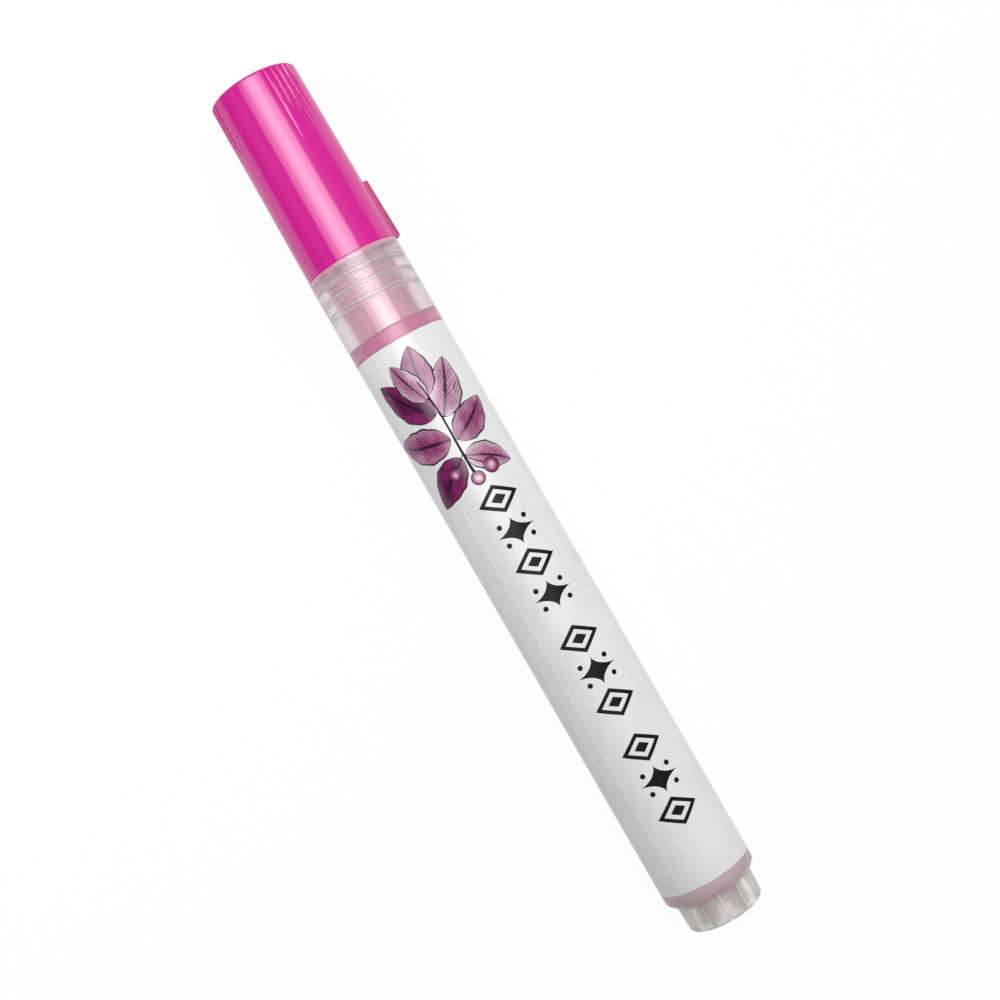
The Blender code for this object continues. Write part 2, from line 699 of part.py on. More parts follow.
def main():
    """Build the pen."""
    clear_scene()
    parts = new_collection("nail_art_pen")
    cutters = new_collection("cutters")
    axis = pen_axis(parts)

    clear = finish("clear_plastic", (0.86, 0.84, 0.85), 0.12, alpha=0.45)
    frosted = finish("frosted_plastic", (0.82, 0.74, 0.77), 0.25, alpha=0.6)
    magenta = finish("magenta_plastic", (0.62, 0.02, 0.28), 0.2)
    white_film = finish("white_film", (0.83, 0.83, 0.83), 0.3)
    natural = finish("natural_plastic", (0.85, 0.85, 0.82), 0.35)
    elastomer = finish("grey_elastomer", (0.3, 0.3, 0.31), 0.6)
    fibre = finish("nib_fibre", (0.8, 0.78, 0.74), 0.8)
    steel = finish("bright_steel", (0.68, 0.69, 0.7), 0.2, metallic=1.0)
    pink = finish("pink_paint", (0.6, 0.1, 0.32), 0.3)

    pieces = [
        (build_barrel(axis, parts, cutters), frosted),
        (build_label(axis, parts), white_film),
        (build_front_section(axis, parts), clear),
        (build_neck_gasket(axis, parts), elastomer),
        (build_valve_seal(axis, parts), elastomer),
        (build_valve_housing(axis, parts, cutters), natural),
        (build_valve_stem(axis, parts), natural),
        (build_nib(axis, parts), fibre),
        (build_cap(axis, parts, cutters), magenta),
        (build_cap_liner(axis, parts), natural),
        (build_paint(axis, parts, cutters), pink),
    ]
    bpy.context.view_layer.update()
    for piece, material in pieces:
        shade_round(piece)
        dress(piece, material)
    dress(build_valve_spring(axis, parts), steel)
    dress(ball("mixing_ball", BALL_RADIUS, axis, parts), steel)


main()
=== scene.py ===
"""Looks of a nail art pen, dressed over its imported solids.

The pen lies along X with its cap towards +X. A station is a distance along the pen's own axis from
the tail's end face, and an angle round the pen is counted from straight up towards -Y. Every new
piece is a surface over two parameters, worked out as whole arrays and placed by those coordinates.
"""

import logging
import math
from dataclasses import dataclass
from enum import Enum
from typing import Any, Callable, Sequence

import bmesh
import bpy
import numpy as np
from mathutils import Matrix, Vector


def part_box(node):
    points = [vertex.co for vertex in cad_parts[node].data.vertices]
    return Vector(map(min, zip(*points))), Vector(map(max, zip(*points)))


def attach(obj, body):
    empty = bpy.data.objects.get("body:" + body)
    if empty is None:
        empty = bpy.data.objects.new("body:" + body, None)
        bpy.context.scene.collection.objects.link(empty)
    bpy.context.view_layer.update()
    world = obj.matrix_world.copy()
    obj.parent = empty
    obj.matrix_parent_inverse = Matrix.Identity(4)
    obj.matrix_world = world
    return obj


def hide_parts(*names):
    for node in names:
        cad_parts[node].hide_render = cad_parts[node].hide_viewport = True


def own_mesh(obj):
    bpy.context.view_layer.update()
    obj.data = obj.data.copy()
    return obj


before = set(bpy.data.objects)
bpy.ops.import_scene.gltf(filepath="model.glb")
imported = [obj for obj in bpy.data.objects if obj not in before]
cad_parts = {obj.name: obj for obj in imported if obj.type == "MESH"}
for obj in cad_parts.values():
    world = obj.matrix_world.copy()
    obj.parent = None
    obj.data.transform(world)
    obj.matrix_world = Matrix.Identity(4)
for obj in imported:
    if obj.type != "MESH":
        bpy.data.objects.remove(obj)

LOG = logging.getLogger("nail_art_pen")
MM = 0.001
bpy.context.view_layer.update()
SHARP_ANGLE = 40.0
WELD_DISTANCE = 0.0002 * MM
SAME_LENGTH = 1e-6 * MM
SAME_ANGLE = 1e-5
ROUNDING = 1e-6
THREAD_REACH = 5.45 * MM
THREAD_INSET = 0.1 * MM
GROOVE_OVERRUN = 0.7 * MM

Colour = tuple[float, float, float]
Point = tuple[float, float, float]
Pair = tuple[float, float]
Piece = bpy.types.Object
Material = bpy.types.Material
Term = "Wire | float"


def joined(*parts: np.ndarray | float) -> np.ndarray:
    """Arrays and numbers side by side along a new last axis, each stretched to their common shape."""
    return np.stack(np.broadcast_arrays(*parts), axis=-1)


@dataclass(frozen=True)
class PenAxis:
    """The line that the pen's round pieces are turned about."""

    tail_x: float
    height: float

    @classmethod
    def from_frame(cls) -> "PenAxis":
        """Find the axis from the barrel's box."""
        low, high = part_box("barrel")
        return cls(low.x, (low.z + high.z) / 2)

    def stations(self, node: str) -> Pair:
        """First and last station of a CAD node."""
        low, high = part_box(node)
        return low.x - self.tail_x, high.x - self.tail_x

    def traced(self, recipe: "Recipe") -> tuple["Wire", "Wire", "Wire"]:
        """Station, radius and angle of the point that a material shades.

        Args:
            recipe: the material under construction.

        Returns:
            A wire for each, the angle in radians.
        """
        x, y, z = recipe.parts(recipe.place())
        up = z - self.height
        return x - self.tail_x, (y * y + up * up) ** 0.5, (0.0 - y).turn_from(up)

    def place(self, station: np.ndarray, radius: np.ndarray, angle: np.ndarray) -> np.ndarray:
        """World points of cylinder coordinates: x along the axis, and the angle from +Z towards -Y."""
        return joined(self.tail_x + station, -radius * np.sin(angle), self.height + radius * np.cos(angle))


def unit(vectors: np.ndarray) -> np.ndarray:
    """The same directions at length 1."""
    return vectors / np.linalg.norm(vectors, axis=-1, keepdims=True)


def wrapped(angles: np.ndarray) -> np.ndarray:
    """Angles brought within half a turn of zero."""
    return np.mod(angles + np.pi, 2 * np.pi) - np.pi


def smooth_step(value: np.ndarray, low: float, high: float) -> np.ndarray:
    """0 below low, 1 above high, and 3t^2 - 2t^3 between them."""
    share = np.clip((value - low) / (high - low), 0, 1)
    return share * share * (3 - 2 * share)


def round_angles(count: int, *extra: np.ndarray) -> np.ndarray:
    """Evenly spaced angles of a whole turn, with more where a detail needs them, in order.

    Args:
        count: how many are evenly spaced.
        extra: the others, in radians.

    Returns:
        The angles, of which none lies on another.
    """
    every = np.concatenate([np.linspace(0, 2 * np.pi, count, endpoint=False), *extra]) % (2 * np.pi)
    every = np.sort(every)
    apart = np.diff(every, prepend=every[-1] - 2 * np.pi)
    return every[apart > SAME_ANGLE]


@dataclass(frozen=True)
class Corner:
    """A corner of a turned outline, with the radius of its fillet."""

    station: float
    radius: float
    fillet: float = 0.0


def rounded(corners: Sequence[Corner], steps: int = 6) -> np.ndarray:
    """Points of an outline whose corners are arcs.

    An arc of the sweep w touches both sides at fillet / tan(half the corner's angle) from the corner.
    From its centre, its points are (sin((1 - t) w) a + sin(t w) b) / sin(w) for its end radii a and b.

    Args:
        corners: the corners in order.
        steps: chords in one arc.

    Returns:
        An array of (station, radius) rows.
    """
    points = np.array([(c.station, c.radius) for c in corners])
    rows = [points[:1]]
    for before, here, after, corner in zip(points, points[1:], points[2:], corners[1:]):
        if corner.fillet <= 0:
            rows.append(here[None])
            continue
        inward, outward = unit(before - here), unit(after - here)
        half = math.acos(float(np.clip(inward @ outward, -1, 1))) / 2
        centre = here + unit(inward + outward) * corner.fillet / math.sin(half)
        start = here + inward * corner.fillet / math.tan(half) - centre
        end = here + outward * corner.fillet / math.tan(half) - centre
        sweep = math.pi - 2 * half
        share = np.linspace(0, 1, steps + 1)[:, None]
        arc = (np.sin((1 - share) * sweep) * start + np.sin(share * sweep) * end) / math.sin(sweep)
        rows.append(centre + arc)
    rows.append(points[-1:])
    return np.concatenate(rows)


def refined(outline: np.ndarray, step: float) -> np.ndarray:
    """The same outline with no side longer than a step.

    Args:
        outline: rows of (station, radius).
        step: the longest side that stays whole.

    Returns:
        The rows, with more between them.
    """
    sides = np.linalg.norm(np.diff(outline, axis=0), axis=1)
    counts = np.maximum(1, np.ceil(sides / step - ROUNDING)).astype(int)
    runs = [
        start + (end - start) * np.arange(count)[:, None] / count
        for start, end, count in zip(outline, outline[1:], counts)
    ]
    return np.concatenate([*runs, outline[-1:]])


def grid_quads(rows: int, columns: int, wrap_rows: bool, wrap_columns: bool) -> np.ndarray:
    """Corner numbers of a grid's quads, where vertex (i, j) has the number i * columns + j.

    Args:
        rows: how many rows it has.
        columns: how many columns it has.
        wrap_rows: whether its last row is joined to its first.
        wrap_columns: whether its last column is joined to its first.

    Returns:
        An array with four numbers for each quad.
    """
    i = np.arange(rows if wrap_rows else rows - 1)[:, None]
    j = np.arange(columns if wrap_columns else columns - 1)[None, :]
    below, beside = (i + 1) % rows, (j + 1) % columns
    corners = (i * columns + j, i * columns + beside, below * columns + beside, below * columns + j)
    return joined(*corners).reshape(-1, 4)


def enclosed_volume(points: np.ndarray, quads: np.ndarray) -> float:
    """Signed volume inside quads, as the sum of the wedges between each one and the first point."""
    a, b, c, d = (points[quads[:, k]] - points[0] for k in range(4))
    return float(np.sum(np.cross(a, b) * c) + np.sum(np.cross(a, c) * d)) / 6


@dataclass
class Patch:
    """A grid of points that becomes a mesh, with an optional pair of map coordinates at each."""

    points: np.ndarray
    wrap_rows: bool = False
    wrap_columns: bool = False
    chart: np.ndarray | None = None


def shown(name: str, data: bpy.types.ID) -> Piece:
    """A new object of some data, in the scene.

    Args:
        name: its name.
        data: its mesh, lamp or camera.

    Returns:
        The object.
    """
    made = bpy.data.objects.new(name, data)
    bpy.context.scene.collection.objects.link(made)
    return made


def weld(mesh: bpy.types.Mesh) -> None:
    """Merge the points of a mesh that lie together, such as a pole's or a seam's.

    Args:
        mesh: the mesh, which is changed.
    """
    shape = bmesh.new()
    shape.from_mesh(mesh)
    bmesh.ops.remove_doubles(shape, verts=shape.verts, dist=WELD_DISTANCE)
    shape.to_mesh(mesh)
    shape.free()


def mesh_piece(name: str, *patches: Patch, sharp: float = SHARP_ANGLE, solid: bool = True) -> Piece:
    """Make one object from grids of points.

    Args:
        name: the piece's name.
        patches: its grids, whose poles and seams are welded.
        sharp: the angle in degrees above which an edge is sharp.
        solid: whether each grid encloses a volume, by which its faces are turned outwards.

    Returns:
        The object, at the origin.
    """
    points, quads, charts, first = [], [], [], 0
    for patch in patches:
        rows, columns = patch.points.shape[:2]
        flat = patch.points.reshape(-1, 3)
        faces = grid_quads(rows, columns, patch.wrap_rows, patch.wrap_columns)
        if solid and enclosed_volume(flat, faces) < 0:
            faces = faces[:, ::-1]
        points.append(flat)
        quads.append(faces + first)
        first += len(flat)
        if patch.chart is not None:
            charts.append(patch.chart.reshape(-1, 2))
    mesh = bpy.data.meshes.new(name)
    vertices, faces = np.concatenate(points), np.concatenate(quads)
    mesh.from_pydata(vertices.tolist(), [], faces.tolist())
    if charts:
        chart = mesh.uv_layers.new(name="chart")
        chart.data.foreach_set("uv", np.concatenate(charts)[faces].astype(np.float32).ravel())
    weld(mesh)
    mesh.shade_smooth()
    mesh.set_sharp_from_angle(angle=math.radians(sharp))
    return shown(name, mesh)


def turned(name: str, axis: PenAxis, outline: np.ndarray, columns: int, closed: bool = False) -> Piece:
    """A round piece: its outline of (station, radius) rows carried round the axis.

    Args:
        name: the piece's name.
        axis: the pen's axis.
        outline: the rows. An open outline begins and ends on the axis.
        columns: how many facets it has round the axis.
        closed: whether the outline is a ring's section.

    Returns:
        The object.
    """
    grid = axis.place(outline[:, :1], outline[:, 1:], round_angles(columns)[None, :])
    return mesh_piece(name, Patch(grid, wrap_rows=closed, wrap_columns=True))


def maths(operation: str, reflected: bool = False) -> Callable[..., "Wire"]:
    """Write a Wire method that adds a Math node.

    Args:
        operation: the node's operation.
        reflected: whether the wire comes after the other terms, as in 1 - wire.

    Returns:
        The method, which takes the other terms.
    """

    def method(wire: "Wire", *others: Term) -> "Wire":
        """Add the node over the wire and the other terms."""
        terms = (*others, wire) if reflected else (wire, *others)
        return wire.recipe.node("ShaderNodeMath", {"operation": operation}, dict(enumerate(terms)))

    return method


class Wire:
    """A shader socket that takes part in Python expressions."""

    def __init__(self, recipe: "Recipe", socket: bpy.types.NodeSocket) -> None:
        """Keep the socket and the recipe that new nodes go into."""
        self.recipe = recipe
        self.socket = socket

    __add__ = __radd__ = maths("ADD")
    __sub__ = maths("SUBTRACT")
    __rsub__ = maths("SUBTRACT", reflected=True)
    __mul__ = __rmul__ = maths("MULTIPLY")
    __pow__ = maths("POWER")
    __abs__ = maths("ABSOLUTE")
    more = maths("MAXIMUM")
    turn_from = maths("ARCTAN2")
    ping_pong = maths("PINGPONG")

    def wave(self) -> "Wire":
        """The distance to the nearest whole number, from 0 to 0.5."""
        return self.ping_pong(0.5)

    def halfway(self) -> "Wire":
        """1 where the wire is 0.5, falling to 0 where it is 0 or 1."""
        return self * (1.0 - self) * 4.0

    def between(self, low: float, high: float) -> "Wire":
        """A smooth step from 0 at low to 1 at high."""
        settings = {"interpolation_type": "SMOOTHSTEP"}
        return self.recipe.node("ShaderNodeMapRange", settings, {0: self, 1: low, 2: high, 3: 0.0, 4: 1.0})


class Recipe:
    """A material, or the world, under construction."""

    def __init__(self, target: Material | bpy.types.World) -> None:
        """Empty the target's tree.

        Args:
            target: the material or world.
        """
        self.target = target
        target.use_nodes = True
        self.tree = target.node_tree
        self.tree.nodes.clear()

    def raw(self, kind: str, settings: dict[str, Any], inputs: dict[Any, Any]) -> bpy.types.Node:
        """Add a node.

        Args:
            kind: the node's type.
            settings: its properties, set first.
            inputs: the values or wires of its sockets, by name or number.

        Returns:
            The node.
        """
        node = self.tree.nodes.new(kind)
        for key, value in settings.items():
            setattr(node, key, value)
        for key, value in inputs.items():
            socket = node.inputs[key]
            if isinstance(value, Wire):
                self.tree.links.new(value.socket, socket)
            elif isinstance(value, tuple) and socket.type == "RGBA":
                socket.default_value = (*value, 1.0)
            else:
                socket.default_value = value
        return node

    def node(self, kind: str, settings: dict[str, Any], inputs: dict[Any, Any], output: Any = 0) -> Wire:
        """Add a node as raw does, and return the wire of one of its outputs."""
        return Wire(self, self.raw(kind, settings, inputs).outputs[output])

    def rays(self, *kinds: str) -> list[Wire]:
        """Whether a ray is a Camera, Glossy or Transmission one, with a wire for each kind that is named."""
        path = self.raw("ShaderNodeLightPath", {}, {})
        return [Wire(self, path.outputs[f"Is {kind} Ray"]) for kind in kinds]

    def place(self, output: str = "Object") -> Wire:
        """Object coordinates, or the world's own."""
        return self.node("ShaderNodeTexCoord", {}, {}, output)

    def chart(self) -> Wire:
        """The piece's own map coordinates."""
        return self.node("ShaderNodeUVMap", {"uv_map": "chart"}, {})

    def parts(self, vector: Wire) -> tuple[Wire, ...]:
        """The three parts of a vector."""
        return tuple(Wire(self, part) for part in self.raw("ShaderNodeSeparateXYZ", {}, {0: vector}).outputs)

    def noise(self, scale: float | Point, detail: float = 3.0, rough: float = 0.5) -> Wire:
        """Fractal noise about 0.5 over the piece, with one scale for all of its axes or one for each.

        Args:
            scale: how many features there are in a metre.
            detail: how many finer octaves it has.
            rough: the share of its height that each finer octave keeps.

        Returns:
            Its value, mostly from 0.3 to 0.7.
        """
        vector = self.place()
        if isinstance(scale, tuple):
            vector, scale = self.node("ShaderNodeMapping", {}, {"Vector": vector, "Scale": scale}), 1.0
        inputs = {"Vector": vector, "Scale": scale, "Detail": detail, "Roughness": rough}
        return self.node("ShaderNodeTexNoise", {}, inputs)

    def blend(self, factor: Term, first: Any, second: Any) -> Wire:
        """A colour between two, by a factor."""
        return self.node("ShaderNodeMix", {"data_type": "RGBA"}, {0: factor, 6: first, 7: second}, 2)

    def mixed(self, share: Term, first: Wire, second: Wire) -> Wire:
        """A shader between two, by the second's share."""
        return self.node("ShaderNodeMixShader", {}, {0: share, 1: first, 2: second})

    def bump(self, height: Wire, distance: float) -> Wire:
        """A normal from heights in metres per unit."""
        return self.node("ShaderNodeBump", {}, {"Height": height, "Distance": distance})

    def principled(self, **sockets: Any) -> Wire:
        """A Principled shader. Underscores stand for the spaces in its sockets' names."""
        inputs = {name.replace("_", " "): value for name, value in sockets.items()}
        return self.node("ShaderNodeBsdfPrincipled", {}, inputs)


@dataclass(frozen=True)
class Finish:
    """A finish of the pen's, under its material's name."""

    name: str

    def surface(self, recipe: Recipe) -> Wire:
        """The shader of the finish."""
        raise NotImplementedError

    def make(self) -> Material:
        """Build the material.

        Returns:
            The material.
        """
        recipe = Recipe(bpy.data.materials.new(self.name))
        recipe.raw("ShaderNodeOutputMaterial", {}, {"Surface": self.surface(recipe)})
        return recipe.target


@dataclass(frozen=True)
class CapPlastic(Finish):
    """Moulded gloss with faint flow marks and orange peel, and a satin, grained rib."""

    cap: "Cap"
    colour: Colour = (0.665, 0.013, 0.292)
    deep: Colour = (0.63, 0.010, 0.272)
    # The rib's grain is its own; its colours are darker than the side's as painted shade.
    rib_shaded_pale: Colour = (0.60, 0.030, 0.235)
    rib_shaded_deep: Colour = (0.49, 0.014, 0.180)
    # Painted highlight: a pale line along the rib's foot.
    rib_foot_highlight: Colour = (0.95, 0.22, 0.55)
    # Painted shade: darker corners along the rib's top.
    rib_corner_shade: Colour = (0.26, 0.012, 0.100)
    roughness: float = 0.12
    rib_roughness: float = 0.6
    foot_rise: Pair = (0.03 * MM, 0.12 * MM)
    edge_rise: Pair = (0.52 * MM, 0.66 * MM)
    edge_width: float = 0.22 * MM
    peel: float = 0.004 * MM
    ior: float = 1.6

    def rib_place(self, recipe: Recipe) -> tuple[Wire, Wire]:
        """Height over the cap's side, which tapers from its rim, and distance from the rib's middle.

        Args:
            recipe: the material under construction.

        Returns:
            The two distances.
        """
        cap = self.cap
        station, radius, turn = cap.axis.traced(recipe)
        rim, top = cap.span
        side = (station - rim) * (cap.taper / (top - rim))
        return radius - cap.rim_radius + side, abs(turn - math.radians(cap.rib_angle)) * cap.rim_radius

    def surface(self, recipe: Recipe) -> Wire:
        """Gloss on the side; on the rib a real satin grain in colours darkened as painted shade, painted
        shade on its top corners, and a painted highlight line at its foot.

        Args:
            recipe: the material under construction.

        Returns:
            The shader.
        """
        flow = recipe.noise((60.0, 260.0, 260.0))
        peel = recipe.noise(900.0, 2.0)
        scratches = recipe.noise((120.0, 5200.0, 5200.0), 2.0)
        grain = recipe.noise((1500.0, 4200.0, 4200.0), 2.0)
        rise, beside = self.rib_place(recipe)
        rib = rise.between(*self.foot_rise)
        half = self.cap.rib_width / 2
        corner = beside.between(half - self.edge_width, half - self.edge_width / 2)
        # Real grain in darker colours, the darkness painted shade.
        satin = recipe.blend(grain.between(0.35, 0.65), self.rib_shaded_deep, self.rib_shaded_pale)
        # Painted shade along the top corners of the rib.
        satin = recipe.blend(rise.between(*self.edge_rise) * corner, satin, self.rib_corner_shade)
        colour = recipe.blend(rib, recipe.blend(flow.between(0.3, 0.7), self.deep, self.colour), satin)
        gloss = self.roughness + 0.04 * peel + 0.05 * scratches.between(0.66, 0.72)
        return recipe.principled(
            # Painted highlight where the rib rises from the side.
            Base_Color=recipe.blend(rib.halfway(), colour, self.rib_foot_highlight),
            Roughness=gloss + (self.rib_roughness - self.roughness) * rib,
            Normal=recipe.bump(peel, self.peel),
            IOR=self.ior,
        )


@dataclass(frozen=True)
class Thread:
    """The rounded helical ridge of the neck, and its counterpart in the collar, half a turn apart."""

    start: float
    end: float
    phase: float = 0.0
    pitch: float = 2.2 * MM
    height: float = 0.34 * MM
    half_foot: float = 0.42 * MM
    half_crest: float = 0.16 * MM
    lead: float = 0.5 * MM

    def ridge(self, station: np.ndarray, angles: np.ndarray) -> np.ndarray:
        """Height of the ridge, which is full wherever (s - start) / pitch + a / 2 pi + phase is whole.

        Args:
            station: distances along the axis.
            angles: angles round it.

        Returns:
            The height, with the common shape of both.
        """
        turns = (station - self.start) / self.pitch + angles / (2 * np.pi) + self.phase
        apart = np.abs(np.mod(turns + 0.5, 1) - 0.5) * self.pitch
        ridge = smooth_step(-apart, -self.half_foot, -self.half_crest)
        run_in = smooth_step(station, self.start, self.start + self.lead)
        run_out = smooth_step(-station, -self.end, -self.end + self.lead)
        return self.height * ridge * run_in * run_out


@dataclass(frozen=True)
class MilkyPlastic(Finish):
    """Natural plastic that is clear with a milky cast: glossy outside, and duller inside its bores."""

    axis: PenAxis
    clarity: float
    ior: float
    roughness: float
    inner_roughness: float
    skin_radius: float
    bright: Colour
    cloudy: Colour
    frost: Colour
    haze: float
    ripple: float = 0.006 * MM

    def tint(self, recipe: Recipe) -> Wire:
        """The plastic's own colour, in slow clouds."""
        return recipe.blend(recipe.noise(420.0, 4.0, 0.6).between(0.35, 0.65), self.cloudy, self.bright)

    def frosting(self, recipe: Recipe) -> tuple[Wire, Wire]:
        """Colour of the cloudiness that hides what lies behind, and its share."""
        raise NotImplementedError

    def relief(self, recipe: Recipe) -> Wire:
        """Height of the moulded skin in shares of its ripple's depth."""
        return recipe.noise((700.0, 300.0, 300.0), 2.0)

    def surface(self, recipe: Recipe) -> Wire:
        """Clear plastic mixed with its frost.

        Args:
            recipe: the material under construction.

        Returns:
            The shader.
        """
        _, radius, _ = self.axis.traced(recipe)
        rub = recipe.noise((200.0, 2600.0, 2600.0))
        inside = radius.between(self.skin_radius, self.skin_radius - 0.2 * MM)
        rough = self.roughness + (self.inner_roughness - self.roughness) * inside
        rough = rough + 0.05 * rub.between(0.5, 0.8)
        skin = {"Roughness": rough, "Normal": recipe.bump(self.relief(recipe), self.ripple), "IOR": self.ior}
        clear = recipe.principled(Base_Color=self.tint(recipe), Transmission_Weight=self.clarity, **skin)
        colour, share = self.frosting(recipe)
        return recipe.mixed(share, clear, recipe.principled(Base_Color=colour, **skin))


@dataclass(frozen=True, kw_only=True)
class CollarPlastic(MilkyPlastic):
    """The front section's plastic, cloudier and pinker where it is solid behind the cap's rim."""

    thread: Thread
    clarity: float = 0.86
    ior: float = 1.54
    roughness: float = 0.05
    inner_roughness: float = 0.16
    skin_radius: float = 7.2 * MM
    bright: Colour = (1.0, 0.90, 0.95)
    cloudy: Colour = (0.985, 0.86, 0.93)
    frost: Colour = (0.97, 0.93, 0.92)
    haze: float = 0.08
    thread_radius: float = 5.95 * MM
    # Painted glints on the thread's flanks and painted shade on its crests, seen through the wall.
    flank_glint_share: float = 0.42
    painted_crest_shade: Colour = (0.62, 0.42, 0.48)
    crest_shade_share: float = 0.15
    wander: float = 1.0 * MM
    solid_station: Pair = (110.6 * MM, 112.2 * MM)
    solid_frost: Colour = (0.90, 0.50, 0.60)
    solid_haze: float = 0.62
    solid_skin: float = 0.26
    past_station: Pair = (113.5 * MM, 113.0 * MM)
    # Painted glow: a pink band in the skin under the cap's rim.
    rim_glow_station: Pair = (112.35 * MM, 112.95 * MM)
    painted_rim_glow: Colour = (1.0, 0.42, 0.60)
    rim_glow_share: float = 0.34
    sink: float = 0.03 * MM
    line_scale: Point = (2600.0, 170.0, 170.0)
    line_frost: Colour = (0.80, 0.60, 0.66)
    line_share: float = 0.2
    line_depth: float = 0.01 * MM
    line_station: Pair = (103.0 * MM, 108.0 * MM)

    def crest(self, recipe: Recipe) -> Wire:
        """How far a point is up the thread's ridge, from 0 at its foot to 1 on its crest.

        Args:
            recipe: the material under construction.

        Returns:
            The share of the ridge's height.
        """
        thread = self.thread
        station, _, turn = self.axis.traced(recipe)
        turns = (station - thread.start) * (1 / thread.pitch) + turn * (0.5 / math.pi) + thread.phase
        up = turns.wave().between(thread.half_foot / thread.pitch, thread.half_crest / thread.pitch)
        run_in = station.between(thread.start, thread.start + thread.lead)
        return up * run_in * station.between(thread.end, thread.end - thread.lead)

    def lines(self, recipe: Recipe) -> Wire:
        """Fine broken lines round the skirt, faint at its foot and full towards the cap.

        Args:
            recipe: the material under construction.

        Returns:
            How strongly a point lies on a line.
        """
        station, _, _ = self.axis.traced(recipe)
        strands = recipe.noise(self.line_scale).between(0.48, 0.66)
        return strands * (0.2 + 0.8 * station.between(*self.line_station))

    def relief(self, recipe: Recipe) -> Wire:
        """The ripple, the fine lines, and the sink marks that the thread leaves in the thick wall's skin."""
        sinks = self.crest(recipe) * (self.sink / self.ripple)
        return super().relief(recipe) + sinks + self.lines(recipe) * (self.line_depth / self.ripple)

    def frosting(self, recipe: Recipe) -> tuple[Wire, Wire]:
        """A trace of white along the skirt, fine lines, pink past the neck, painted glints on the thread's
        flanks, painted shade on its crests and a painted pink glow under the cap's rim.

        Args:
            recipe: the material under construction.

        Returns:
            The frost's colour and its share.
        """
        station, radius, _ = self.axis.traced(recipe)
        wandered = station + (recipe.noise(300.0) - 0.5) * self.wander
        solid = wandered.between(*self.solid_station) * station.between(*self.past_station)
        skin = radius.between(self.skin_radius - 0.2 * MM, self.skin_radius)
        # Painted pink glow under the cap's rim.
        rim = wandered.between(*self.rim_glow_station) * skin
        # Painted glints on the flanks, painted shade on the crests.
        crest = self.crest(recipe) * radius.between(self.thread_radius, self.thread_radius - 0.1 * MM)
        flank = crest.halfway()
        lines = self.lines(recipe)
        colour = recipe.blend(rim, recipe.blend(solid, self.frost, self.solid_frost), self.painted_rim_glow)
        colour = recipe.blend(crest * (1.0 - flank), colour, self.painted_crest_shade)
        colour = recipe.blend(lines, colour, self.line_frost)
        inner = radius.between(self.skin_radius, self.thread_radius)
        depth = self.solid_skin * radius.between(self.thread_radius, self.skin_radius) + inner
        share = self.haze + (self.solid_haze - self.haze) * solid * depth + self.line_share * lines
        return colour, share + self.rim_glow_share * rim + self.flank_glint_share * flank + self.crest_shade_share * crest


